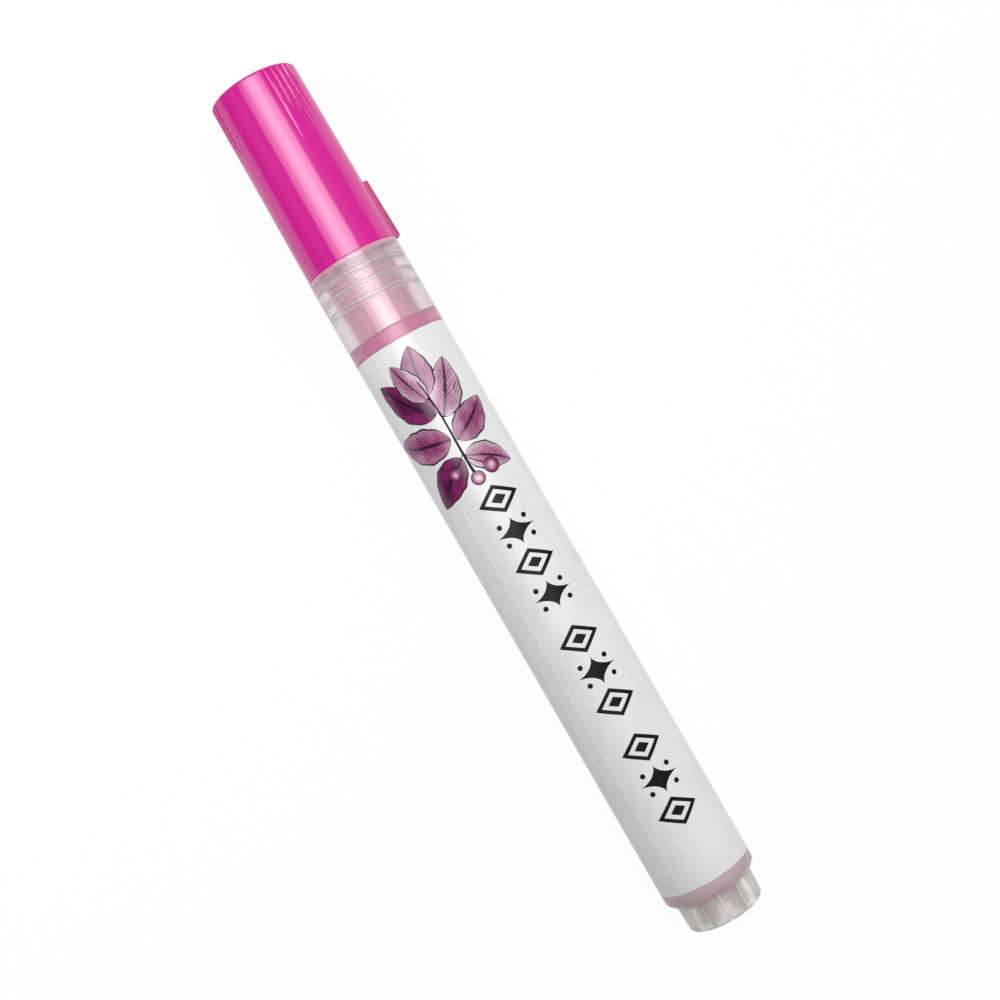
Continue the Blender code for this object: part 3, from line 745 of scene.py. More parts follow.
@dataclass(frozen=True, kw_only=True)
class BarrelPlastic(MilkyPlastic):
    """The barrel's plastic, which the paint behind it colours as far as the cone floor."""

    tube: "Barrel"
    clarity: float = 0.84
    ior: float = 1.42
    roughness: float = 0.07
    inner_roughness: float = 0.2
    skin_radius: float = 6.05 * MM
    bright: Colour = (0.99, 0.96, 0.95)
    cloudy: Colour = (0.96, 0.92, 0.91)
    frost: Colour = (0.68, 0.65, 0.63)
    haze: float = 0.32
    # The pale of the rib lines and the side streaks is painted highlight.
    line_frost: Colour = (0.95, 0.92, 0.90)
    line_share: float = 0.35
    # Painted light: pale streaks that lighten the tail's sides.
    streak_count: int = 4
    streak_half: float = 15.0
    streak_share: float = 0.52
    ribbed: Colour = (0.90, 0.87, 0.86)
    stained: Colour = (0.96, 0.62, 0.78)
    stained_neck: Colour = (0.97, 0.58, 0.74)
    stained_tail: Colour = (0.95, 0.82, 0.86)
    body_frost: Colour = (0.76, 0.29, 0.49)
    neck_frost: Colour = (0.87, 0.18, 0.42)
    tail_frost: Colour = (0.69, 0.54, 0.58)
    floor_frost: Colour = (0.78, 0.38, 0.50)
    floor_share: float = 0.3
    # Painted highlight: a pale line along the shoulder's foot.
    shoulder_foot_highlight: Colour = (0.95, 0.86, 0.87)
    foot_highlight_half: float = 0.14 * MM
    stained_share: float = 0.5
    neck_share: float = 0.72
    wander: float = 2.0 * MM
    tail_station: Pair = (3.6 * MM, 5.0 * MM)
    front_station: Pair = (12.0 * MM, 32.0 * MM)
    neck_station: Pair = (101.0 * MM, 101.5 * MM)

    def zoned(self, recipe: Recipe, tail: Any, shoulder: Any, body: Any, neck: Any) -> Wire:
        """A colour for each zone, which pass into each other with a slow wander.

        Args:
            recipe: the material under construction.
            tail: colour of the tail.
            shoulder: colour by the shoulder.
            body: colour along the paint.
            neck: colour of the neck.

        Returns:
            The colour.
        """
        station, _, _ = self.axis.traced(recipe)
        wandered = station + (recipe.noise(260.0) - 0.5) * self.wander
        stain = recipe.blend(station.between(*self.front_station), shoulder, body)
        stain = recipe.blend(wandered.between(*self.tail_station), tail, stain)
        return recipe.blend(station.between(*self.neck_station), stain, neck)

    def tint(self, recipe: Recipe) -> Wire:
        """Clear at the tail, greyer in its ribs, stained along the paint and paler in the neck.

        Args:
            recipe: the material under construction.

        Returns:
            The colour.
        """
        _, radius, _ = self.axis.traced(recipe)
        within = radius.between(self.tube.tail_bore, self.tube.tail_bore - 0.3 * MM)
        clear = recipe.blend(within, super().tint(recipe), self.ribbed)
        return self.zoned(recipe, clear, self.stained_tail, self.stained, self.stained_neck)

    def rib_highlight_lines(self, recipe: Recipe, uneven: Wire) -> Wire:
        """A pale line where each of the tail's ribs meets its wall, as painted highlight, fullest at the
        first one, which points up.

        Args:
            recipe: the material under construction.
            uneven: noise that makes them uneven.

        Returns:
            How strongly a point lies on a line.
        """
        tube = self.tube
        _, _, turn = self.axis.traced(recipe)
        pitch = 2 * math.pi / tube.rib_count
        apart = (turn * (1 / pitch) - tube.rib_phase * tube.rib_count / 360).wave()
        half = tube.rib_line / tube.tail_root / pitch
        first = abs(turn - math.radians(tube.rib_phase)).between(0.4, 0.1)
        return apart.between(1.6 * half, 0.5 * half) * (0.25 + 0.35 * uneven).more(first)

    def painted_side_streaks(self, recipe: Recipe, uneven: Wire) -> Wire:
        """Painted light: pale streaks in the tail's outer skin, evenly round it, that lighten the tail's
        sides.

        Args:
            recipe: the material under construction.
            uneven: noise that makes them uneven.

        Returns:
            How strongly a point lies in a streak.
        """
        _, radius, turn = self.axis.traced(recipe)
        skin = self.tube.tail_root
        turns = turn * (self.streak_count / (2 * math.pi)) + 0.5
        gate = turns.wave().between(self.streak_half * self.streak_count / 360, 0.0)
        return gate * (0.6 + 0.4 * uneven) * radius.between(skin - 0.6 * MM, skin - 0.4 * MM)

    def cone_floor(self, recipe: Recipe) -> Wire:
        """1 on the underside of the cone floor, within the tail's bore.

        Args:
            recipe: the material under construction.

        Returns:
            The mask.
        """
        tube = self.tube
        station, radius, _ = self.axis.traced(recipe)
        tip = tube.floor_tip - tube.floor_wall - tube.floor_slope * tube.floor_round
        cone = (radius * radius + tube.floor_round**2) ** 0.5 * tube.floor_slope
        near = abs(station - cone - tip).between(0.5 * MM, 0.1 * MM)
        return near * radius.between(tube.tail_bore + 0.2 * MM, tube.tail_bore)

    def frosting(self, recipe: Recipe) -> tuple[Wire, Wire]:
        """Pink where paint lies behind, also on the cone floor, and painted highlights: pale at the ribs, on
        the tail's sides and at the shoulder's foot.

        Args:
            recipe: the material under construction.

        Returns:
            The frost's colour and its share.
        """
        station, radius, _ = self.axis.traced(recipe)
        skin, end = self.tube.tail_root, self.tube.shoulder[0]
        tail = station.between(end + 0.3 * MM, end)
        uneven = recipe.noise(330.0, 2.0).between(0.42, 0.6)
        # Painted highlight along the ribs.
        lines = self.rib_highlight_lines(recipe, uneven) * tail
        # Painted light on the tail's sides.
        flow = self.painted_side_streaks(recipe, uneven) * tail
        floor = self.cone_floor(recipe)
        # Painted highlight at the shoulder's foot.
        foot = abs(station - end).between(self.foot_highlight_half, 0.2 * self.foot_highlight_half)
        colour = self.zoned(recipe, self.frost, self.tail_frost, self.body_frost, self.neck_frost)
        colour = recipe.blend(floor, colour, self.floor_frost)
        colour = recipe.blend(lines.more(flow), colour, self.line_frost)
        colour = recipe.blend(foot * radius.between(skin - 0.1 * MM, skin), colour, self.shoulder_foot_highlight)
        stained = (self.stained_share - self.haze) * station.between(*self.tail_station).more(floor)
        neck = (self.neck_share - self.stained_share) * station.between(*self.neck_station)
        pale = (self.line_share * lines).more(self.streak_share * flow)
        return colour, self.haze + stained + neck + pale + self.floor_share * floor


@dataclass(frozen=True)
class PaintCharge(Finish):
    """Pearly pink paint behind the clear wall, thinner and paler towards the neck."""

    axis: PenAxis
    deep: Colour = (0.92, 0.155, 0.42)
    pale: Colour = (0.94, 0.29, 0.53)
    neck_colour: Colour = (0.97, 0.28, 0.56)
    tail_colour: Colour = (0.80, 0.50, 0.60)
    thin_station: Pair = (100.3 * MM, 104.8 * MM)
    front_station: Pair = (12.0 * MM, 32.0 * MM)

    def surface(self, recipe: Recipe) -> Wire:
        """Swirls of two pinks under a fine pearl.

        Args:
            recipe: the material under construction.

        Returns:
            The shader.
        """
        station, _, _ = self.axis.traced(recipe)
        swirl = recipe.noise((260.0, 120.0, 120.0), 4.0, 0.6)
        pearl = recipe.noise(6000.0, 2.0)
        wet = recipe.blend(swirl.between(0.35, 0.7), self.deep, self.pale)
        wet = recipe.blend(station.between(*self.front_station), self.tail_colour, wet)
        return recipe.principled(
            Base_Color=recipe.blend(station.between(*self.thin_station), wet, self.neck_colour),
            Roughness=0.3 + 0.15 * pearl,
            Normal=recipe.bump(pearl, 0.003 * MM),
        )


@dataclass(frozen=True)
class LabelFilm(Finish):
    """White printed film: a clear gloss over paper-white, with faint print grain."""

    white: Colour = (0.785, 0.785, 0.787)
    shade: Colour = (0.755, 0.755, 0.757)
    roughness: float = 0.22
    wrinkle: float = 0.012 * MM

    def surface(self, recipe: Recipe) -> Wire:
        """Slow tones, fine grain and long, shallow wrinkles.

        Args:
            recipe: the material under construction.

        Returns:
            The shader.
        """
        tone = recipe.noise(180.0)
        grain = recipe.noise(5200.0, 2.0)
        wrinkle = recipe.noise((90.0, 500.0, 500.0), 2.0)
        return recipe.principled(
            Base_Color=recipe.blend(tone.between(0.3, 0.7), self.shade, self.white),
            Roughness=self.roughness + 0.08 * grain,
            Normal=recipe.bump(wrinkle, self.wrinkle),
            IOR=1.42,
        )


class Tone(Enum):
    """How strongly a printed leaf is coloured: its light and dark ground."""

    PALE = ((0.72, 0.52, 0.62), (0.52, 0.16, 0.34))
    ROSE = ((0.56, 0.24, 0.40), (0.34, 0.04, 0.18))
    PLUM = ((0.30, 0.02, 0.16), (0.12, 0.005, 0.07))


@dataclass(frozen=True)
class LeafInk(Finish):
    """Print of a leaf: a tinted ground, dark hairline veins and an inked outline.

    The chart's first coordinate runs along the leaf and its second across it, from 0 to 1.
    """

    light: Colour
    dark: Colour
    ink: Colour = (0.02, 0.006, 0.016)
    veins: float = 13.0
    lean: float = 5.0
    roughness: float = 0.22

    def surface(self, recipe: Recipe) -> Wire:
        """Veins that lean towards the tip, finer ones between them, a midrib and a rim.

        Args:
            recipe: the material under construction.

        Returns:
            The shader.
        """
        along, across, _ = recipe.parts(recipe.chart())
        side = abs(across * 2.0 - 1.0)
        wobble = recipe.noise(900.0) - 0.5
        rise = along * self.veins - side * self.lean + wobble * 1.5
        vein = rise.wave().between(0.21, 0.06)
        fine = (rise * 2.0 + wobble * 2.0).wave().between(0.17, 0.05) * (side + wobble).between(0.25, 0.6)
        tips = along.between(0.04, 0.015).more(along.between(0.965, 0.99))
        wash = (recipe.noise(420.0) + 0.5 * side - 0.25).between(0.25, 0.75)
        lines = vein.more(fine * 0.85).more(side.between(0.12, 0.05)) * (1.0 - 0.25 * wash)
        inked = lines.more(side.between(0.86, 0.93)).more(tips)
        colour = recipe.blend(inked, recipe.blend(wash, self.dark, self.light), self.ink)
        return recipe.principled(Base_Color=colour, Roughness=self.roughness, IOR=1.5)


@dataclass(frozen=True)
class BerryInk(Finish):
    """Print of a berry: pale in its middle, with hairlines that run in from a dark rim.

    The chart's first coordinate runs once round the berry and its second out from its middle.
    """

    light: Colour = (0.78, 0.50, 0.64)
    dark: Colour = (0.30, 0.02, 0.16)
    ink: Colour = (0.03, 0.01, 0.025)
    rays: float = 16.0

    def surface(self, recipe: Recipe) -> Wire:
        """A ground that darkens outwards under rays and a rim.

        Args:
            recipe: the material under construction.

        Returns:
            The shader.
        """
        around, out, _ = recipe.parts(recipe.chart())
        wobble = recipe.noise(1500.0, 2.0) - 0.5
        ray = (around * self.rays + wobble).wave().between(0.22, 0.08)
        ray = ray * (out + wobble * 0.6).between(0.35, 0.6)
        ground = recipe.blend((out + wobble * 0.4).between(0.0, 0.8), self.light, self.dark)
        colour = recipe.blend(ray.more(out.between(0.86, 0.93)), ground, self.ink)
        return recipe.principled(Base_Color=colour, Roughness=0.22, IOR=1.5)


@dataclass(frozen=True)
class BlackInk(Finish):
    """Solid black print, very slightly uneven."""

    deep: Colour = (0.004, 0.004, 0.005)
    pale: Colour = (0.012, 0.012, 0.014)

    def surface(self, recipe: Recipe) -> Wire:
        """Low gloss with an uneven lay-down.

        Args:
            recipe: the material under construction.

        Returns:
            The shader.
        """
        uneven = recipe.noise(2600.0)
        colour = recipe.blend(uneven, self.deep, self.pale)
        return recipe.principled(Base_Color=colour, Roughness=0.3 + 0.08 * uneven, IOR=1.25)


@dataclass(frozen=True)
class SoftPlastic(Finish):
    """Unpainted inner plastic or elastomer, matt with a fine mould grain."""

    colour: Colour
    roughness: float
    grain: float = 0.01 * MM

    def surface(self, recipe: Recipe) -> Wire:
        """Slow stains and a fine grain.

        Args:
            recipe: the material under construction.

        Returns:
            The shader.
        """
        grain = recipe.noise(3500.0)
        shade = tuple(0.9 * part for part in self.colour)
        return recipe.principled(
            Base_Color=recipe.blend(recipe.noise(300.0).between(0.35, 0.65), shade, self.colour),
            Roughness=self.roughness + 0.1 * grain,
            Normal=recipe.bump(grain, self.grain),
        )


@dataclass(frozen=True)
class NibFibre(Finish):
    """Pressed fibres that run along the nib."""

    light: Colour = (0.84, 0.81, 0.77)
    dark: Colour = (0.62, 0.58, 0.55)
    depth: float = 0.04 * MM

    def surface(self, recipe: Recipe) -> Wire:
        """Long strands, light and dark.

        Args:
            recipe: the material under construction.

        Returns:
            The shader.
        """
        strands = recipe.noise((500.0, 9000.0, 9000.0))
        return recipe.principled(
            Base_Color=recipe.blend(strands.between(0.35, 0.65), self.dark, self.light),
            Roughness=0.85,
            Normal=recipe.bump(strands, self.depth),
            Sheen_Weight=0.3,
        )


@dataclass(frozen=True)
class BrightSteel(Finish):
    """Drawn or polished steel with fine lines."""

    colour: Colour = (0.68, 0.69, 0.70)

    def surface(self, recipe: Recipe) -> Wire:
        """Metal whose tone and gloss vary finely.

        Args:
            recipe: the material under construction.

        Returns:
            The shader.
        """
        lines = recipe.noise(4200.0, 4.0)
        shade = tuple(0.85 * part for part in self.colour)
        colour = recipe.blend(lines, shade, self.colour)
        return recipe.principled(Base_Color=colour, Roughness=0.14 + 0.12 * lines, Metallic=1.0)


@dataclass(frozen=True)
class FloorPaper(Finish):
    """Floor that the camera, gloss and clear plastic see nearly as pure white, each by its share."""

    shares: Point = (0.95, 0.45, 0.75)

    def surface(self, recipe: Recipe) -> Wire:
        """Matt paper mixed with white light.

        Args:
            recipe: the material under construction.

        Returns:
            The shader.
        """
        colour = recipe.blend(recipe.noise(900.0, 2.0), (0.80, 0.80, 0.80), (0.83, 0.83, 0.83))
        white = recipe.node("ShaderNodeEmission", {}, {"Color": (1.0, 1.0, 1.0), "Strength": 1.0})
        rays = recipe.rays("Camera", "Glossy", "Transmission")
        camera, glossy, through = (ray * share for ray, share in zip(rays, self.shares))
        paper = recipe.principled(Base_Color=colour, Roughness=0.9)
        return recipe.mixed(camera.more(glossy).more(through), paper, white)


@dataclass(frozen=True)
class Finishes:
    """Every material of the pen, made once."""

    cap: Material
    clear: Material
    barrel: Material
    paint: Material
    film: Material
    natural: Material
    wetted: Material
    elastomer: Material
    fibre: Material
    steel: Material
    black: Material
    berry: Material
    leaves: dict[Tone, Material]

    @classmethod
    def make(cls, cap: "Cap", grooves: Thread, tube: "Barrel") -> "Finishes":
        """Build them all.

        Args:
            cap: the cap, whose rib has a finish of its own.
            grooves: the collar's thread, which shows as lines through its wall.
            tube: the barrel, whose ribs and cone floor show in its tail.

        Returns:
            The materials.
        """
        axis = tube.axis
        return cls(
            cap=CapPlastic("magenta_plastic", cap).make(),
            clear=CollarPlastic("clear_plastic", axis, thread=grooves).make(),
            barrel=BarrelPlastic("barrel_plastic", axis, tube=tube).make(),
            paint=PaintCharge("pink_paint", axis).make(),
            film=LabelFilm("label_film").make(),
            natural=SoftPlastic("natural_plastic", (0.82, 0.80, 0.79), 0.35).make(),
            wetted=SoftPlastic("wetted_plastic", (0.88, 0.50, 0.64), 0.35).make(),
            elastomer=SoftPlastic("pale_elastomer", (0.90, 0.76, 0.79), 0.6).make(),
            fibre=NibFibre("nib_fibre").make(),
            steel=BrightSteel("bright_steel").make(),
            black=BlackInk("black_ink").make(),
            berry=BerryInk("berry_ink").make(),
            leaves={tone: LeafInk(f"leaf_ink_{tone.name.lower()}", *tone.value).make() for tone in Tone},
        )


def hand_over(piece: Piece, material: Material, body: str, node: str | None = None) -> None:
    """Give a new piece its material and body, and hide the CAD node that it stands for.

    Args:
        piece: the new piece.
        material: its one material.
        body: the CAD body that it rides on.
        node: the CAD node that it replaces, if any.
    """
    piece.data.materials.append(material)
    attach(piece, body)
    if node:
        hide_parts(node)
    LOG.info("%s rides on %s, %d faces", piece.name, body, len(piece.data.polygons))


@dataclass
class Cap:
    """Fluted cap with its anti-roll rib, and the soft cup inside it."""

    axis: PenAxis
    rim_radius: float = 7.43 * MM
    taper: float = 0.3 * MM
    wall: float = 1.05 * MM
    roof: float = 1.4 * MM
    top_edge: float = 0.4 * MM
    rim_edge: float = 0.09 * MM
    lead: float = 0.3 * MM
    flute_groups: int = 3
    flute_start: float = 22.3
    flute_pitch: float = 8.8
    flute_rod: float = 0.42 * MM
    flute_depth: float = 0.28 * MM
    flute_lengths: tuple[float, ...] = (13.0 * MM, 8.9 * MM, 11.3 * MM, 11.3 * MM, 11.3 * MM)
    rib_angle: float = 100.0
    rib_width: float = 2.0 * MM
    rib_length: float = 9.85 * MM
    rib_setback: float = 0.1 * MM
    rib_rise: Pair = (0.81 * MM, 0.65 * MM)
    rib_flank: float = 0.13 * MM
    facets: int = 240
    row_step: float = 0.3 * MM
    row_gap: float = 0.5 * MM
    liner_facets: int = 96
    liner_wall: float = 0.55 * MM
    liner_bore: float = 3.49 * MM
    liner_flange: float = 0.8 * MM

    @property
    def span(self) -> Pair:
        """First and last station of the cap."""
        return self.axis.stations("cap")

    def radius_at(self, station: np.ndarray) -> np.ndarray:
        """The outer radius, which falls evenly from the rim to the closed end."""
        rim, top = self.span
        return self.rim_radius - self.taper * (station - rim) / (top - rim)

    def flute_angles(self) -> list[Pair]:
        """Angle and length of each flute.

        Returns:
            A pair for each flute, its angle in radians.
        """
        starts = [360 * group / self.flute_groups + self.flute_start for group in range(self.flute_groups)]
        return [
            (math.radians(start + self.flute_pitch * place), length)
            for start in starts
            for place, length in enumerate(self.flute_lengths)
        ]

    def grooved(self, station: np.ndarray, radius: np.ndarray, angles: np.ndarray) -> np.ndarray:
        """Cut the flutes: at x to one side of its middle a flute reaches d - p + sqrt(p^2 - x^2) deep.

        p is the radius of the rod that cuts it, and d falls evenly from the closed end to nothing.

        Args:
            station: distances along the axis.
            radius: radii before the cut.
            angles: angles round the axis.

        Returns:
            The radii after it.
        """
        shell = self.radius_at(station)
        for middle, length in self.flute_angles():
            beside = shell * wrapped(angles - middle)
            depth = self.flute_depth * np.clip(1 - (self.span[1] - station) / length, 0, 1)
            reach = depth - self.flute_rod + np.sqrt(np.maximum(self.flute_rod**2 - beside**2, 0))
            cut = np.where(np.abs(beside) < self.flute_rod, np.maximum(reach, 0), 0)
            radius = np.minimum(radius, shell - cut)
        return radius

    def ribbed(self, station: np.ndarray, radius: np.ndarray, angles: np.ndarray) -> np.ndarray:
        """Raise the rib: a flat top r / cos(a) over steep flanks and ends.

        Args:
            station: distances along the axis.
            radius: radii without the rib.
            angles: angles round the axis.

        Returns:
            The radii with it.
        """
        turn = wrapped(angles - math.radians(self.rib_angle))
        beside = np.abs(self.rim_radius * np.sin(turn))
        start = self.span[0] + self.rib_setback
        end = start + self.rib_length
        low, high = self.rib_rise
        rise = low + (high - low) * np.clip((station - start) / self.rib_length, 0, 1)
        top = (self.radius_at(station) + rise) / np.maximum(np.cos(turn), 0.5) - self.radius_at(station)
        inside = smooth_step(-beside, -self.rib_width / 2, -self.rib_width / 2 + self.rib_flank)
        inside = inside * smooth_step(station, start, start + self.rib_flank)
        inside = inside * smooth_step(-station, -end, -end + self.rib_flank)
        return radius + np.where(np.cos(turn) > 0, top * inside, 0)

    def build_shell(self) -> Piece:
        """The cap as one surface, from its closed end over its side and back up its bore.

        Returns:
            The shell.
        """
        rim, top = self.span
        top_radius = self.rim_radius - self.taper
        flute_end = top - max(self.flute_lengths)
        rib_start = rim + self.rib_setback
        rib_end = rib_start + self.rib_length
        steep = np.linspace(0, self.rib_flank, 7)
        side_stations = np.concatenate([
            np.arange(top - self.top_edge, flute_end - self.row_gap, -self.row_step),
            np.linspace(flute_end - self.row_gap - self.row_step, rib_end + self.row_step, 6),
            rib_end - steep,
            np.linspace(rib_end - self.row_gap, rib_start + self.row_gap, 12),
            rib_start + steep[::-1],
        ])
        side = joined(side_stations, self.radius_at(side_stations))
        end = rounded([Corner(top, 0), Corner(top, top_radius, self.top_edge), Corner(*side[0])], 8)
        end = np.concatenate([[[top, top_radius * share] for share in (0, 0.3, 0.6, 0.8, 0.9)], end[1:]])
        mouth = rounded([
            Corner(*side[-1]),
            Corner(rim, self.rim_radius, self.rim_edge),
            Corner(rim, self.rim_radius - self.wall + self.lead),
            Corner(rim + self.lead, self.rim_radius - self.wall),
            Corner(top - self.roof, top_radius - self.wall, self.top_edge),
            Corner(top - self.roof, 0),
        ])
        outside = np.concatenate([end[:-1], side])
        bore = refined(mouth, 4 * MM)[1:]
        flutes = [
            angle + np.arcsin(np.linspace(-1.1, 1.1, 15) * self.flute_rod / top_radius)
            for angle, _ in self.flute_angles()
        ]
        half = self.rib_width / 2
        flank = np.concatenate([-half + steep, np.linspace(-half, half, 7)[1:-1], half - steep])
        rib = math.radians(self.rib_angle) + np.arcsin(flank / self.rim_radius)
        angles = round_angles(self.facets, *flutes, rib)
        shaped = self.grooved(outside[:, :1], outside[:, 1:], angles[None, :])
        shaped = self.ribbed(outside[:, :1], shaped, angles[None, :])
        radius = np.concatenate([shaped, np.broadcast_to(bore[:, 1:], (len(bore), len(angles)))])
        station = np.concatenate([outside[:, :1], bore[:, :1]])
        grid = self.axis.place(station, radius, angles[None, :])
        return mesh_piece("cap_shell", Patch(grid, wrap_columns=True))

    def build_liner(self) -> Piece:
        """The soft cup, with a flange at its closed end and a tapered lip at its rim.

        Returns:
            The cup.
        """
        rim, end = self.axis.stations("cap_liner")
        low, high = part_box("cap_liner")
        flange = (high.y - low.y) / 2
        bore = self.liner_bore
        outline = rounded([
            Corner(end, 0),
            Corner(end, flange, 0.25 * MM),
            Corner(end - self.liner_flange, flange),
            Corner(end - self.liner_flange, bore + self.liner_wall, 0.1 * MM),
            Corner(rim, bore + self.liner_wall, 0.3 * MM),
            Corner(rim, bore, 0.15 * MM),
            Corner(end - self.liner_flange, bore, 0.2 * MM),
            Corner(end - self.liner_flange, 0),
        ])
        return turned("cap_cup", self.axis, outline, self.liner_facets)

    def dress(self, finishes: Finishes) -> None:
        """Build and hand over the cap's pieces."""
        hand_over(self.build_shell(), finishes.cap, "cap", "cap")
        hand_over(self.build_liner(), finishes.natural, "cap", "cap_liner")


@dataclass
class FrontSection:
    """Clear collar over the neck, with the cap's seat and the nose that holds the nib."""

    axis: PenAxis
    thread: Thread
    facets: int = 256
    thread_step: float = 0.09 * MM
    radius: float = 7.5 * MM
    edge: float = 0.09 * MM
    closing: float = 0.11 * MM
    grip_length: float = 12.13 * MM
    nose_length: float = 8.5 * MM
    seat_radius: float = 5.98 * MM
    bead_height: float = 0.06 * MM
    bead_station: float = 3.4 * MM
    bead_width: float = 1.0 * MM
    skirt_bore: float = 5.72 * MM
    skirt_lead: float = 0.35 * MM
    skirt_depth: float = 10.56 * MM
    chamber_bore: float = 3.2 * MM
    chamber_reach: float = 0.5 * MM
    nose_step: float = 1.5 * MM
    nose_base: float = 4.4 * MM
    nose_tip: float = 2.38 * MM
    nib_bore: float = 1.33 * MM

    def build(self) -> Piece:
        """The collar as a ring section carried round the axis, screwed right up to the barrel's front.

        Returns:
            The collar.
        """
        start, end = self.axis.stations("front_section")
        start -= self.closing
        shoulder = start + self.grip_length
        seat_end = end - self.nose_length - self.nose_step
        bead = shoulder + self.bead_station
        half = self.bead_width / 2
        outline = rounded([
            Corner(end, self.nib_bore),
            Corner(end, self.nose_tip, 0.3 * MM),
            Corner(seat_end + self.nose_step, self.nose_base, 1.2 * MM),
            Corner(seat_end, self.seat_radius, 0.15 * MM),
            Corner(bead + half, self.seat_radius, 0.3 * MM),
            Corner(bead, self.seat_radius + self.bead_height, 0.3 * MM),
            Corner(bead - half, self.seat_radius, 0.3 * MM),
            Corner(shoulder, self.seat_radius, 0.12 * MM),
            Corner(shoulder, self.radius, self.edge),
            Corner(start, self.radius, self.edge),
            Corner(start, self.skirt_bore + self.skirt_lead),
            Corner(start + self.skirt_lead, self.skirt_bore),
            Corner(start + self.skirt_depth, self.skirt_bore, 0.2 * MM),
            Corner(start + self.skirt_depth, self.chamber_bore),
            Corner(seat_end + self.chamber_reach, self.chamber_bore, 0.15 * MM),
            Corner(seat_end + self.chamber_reach, self.nib_bore),
            Corner(end, self.nib_bore),
        ])[:-1]
        outline = refined(outline, 2 * MM)
        bore = np.abs(outline[:, 1] - self.skirt_bore) < SAME_LENGTH
        first, last = np.flatnonzero(bore)[[0, -1]]
        threaded = refined(outline[first:last + 1], self.thread_step)
        outline = np.concatenate([outline[:first], threaded, outline[last + 1:]])
        station, radius, angles = outline[:, :1], outline[:, 1:], round_angles(self.facets)[None, :]
        on_bore = np.abs(radius - self.skirt_bore) < SAME_LENGTH
        inward = np.where(on_bore, self.thread.ridge(station, angles), 0)
        grid = self.axis.place(station, radius - inward, angles)
        return mesh_piece("clear_collar", Patch(grid, wrap_rows=True, wrap_columns=True))

    def dress(self, finishes: Finishes) -> None:
        """Build and hand over the collar."""
        hand_over(self.build(), finishes.clear, "pen", "front_section")


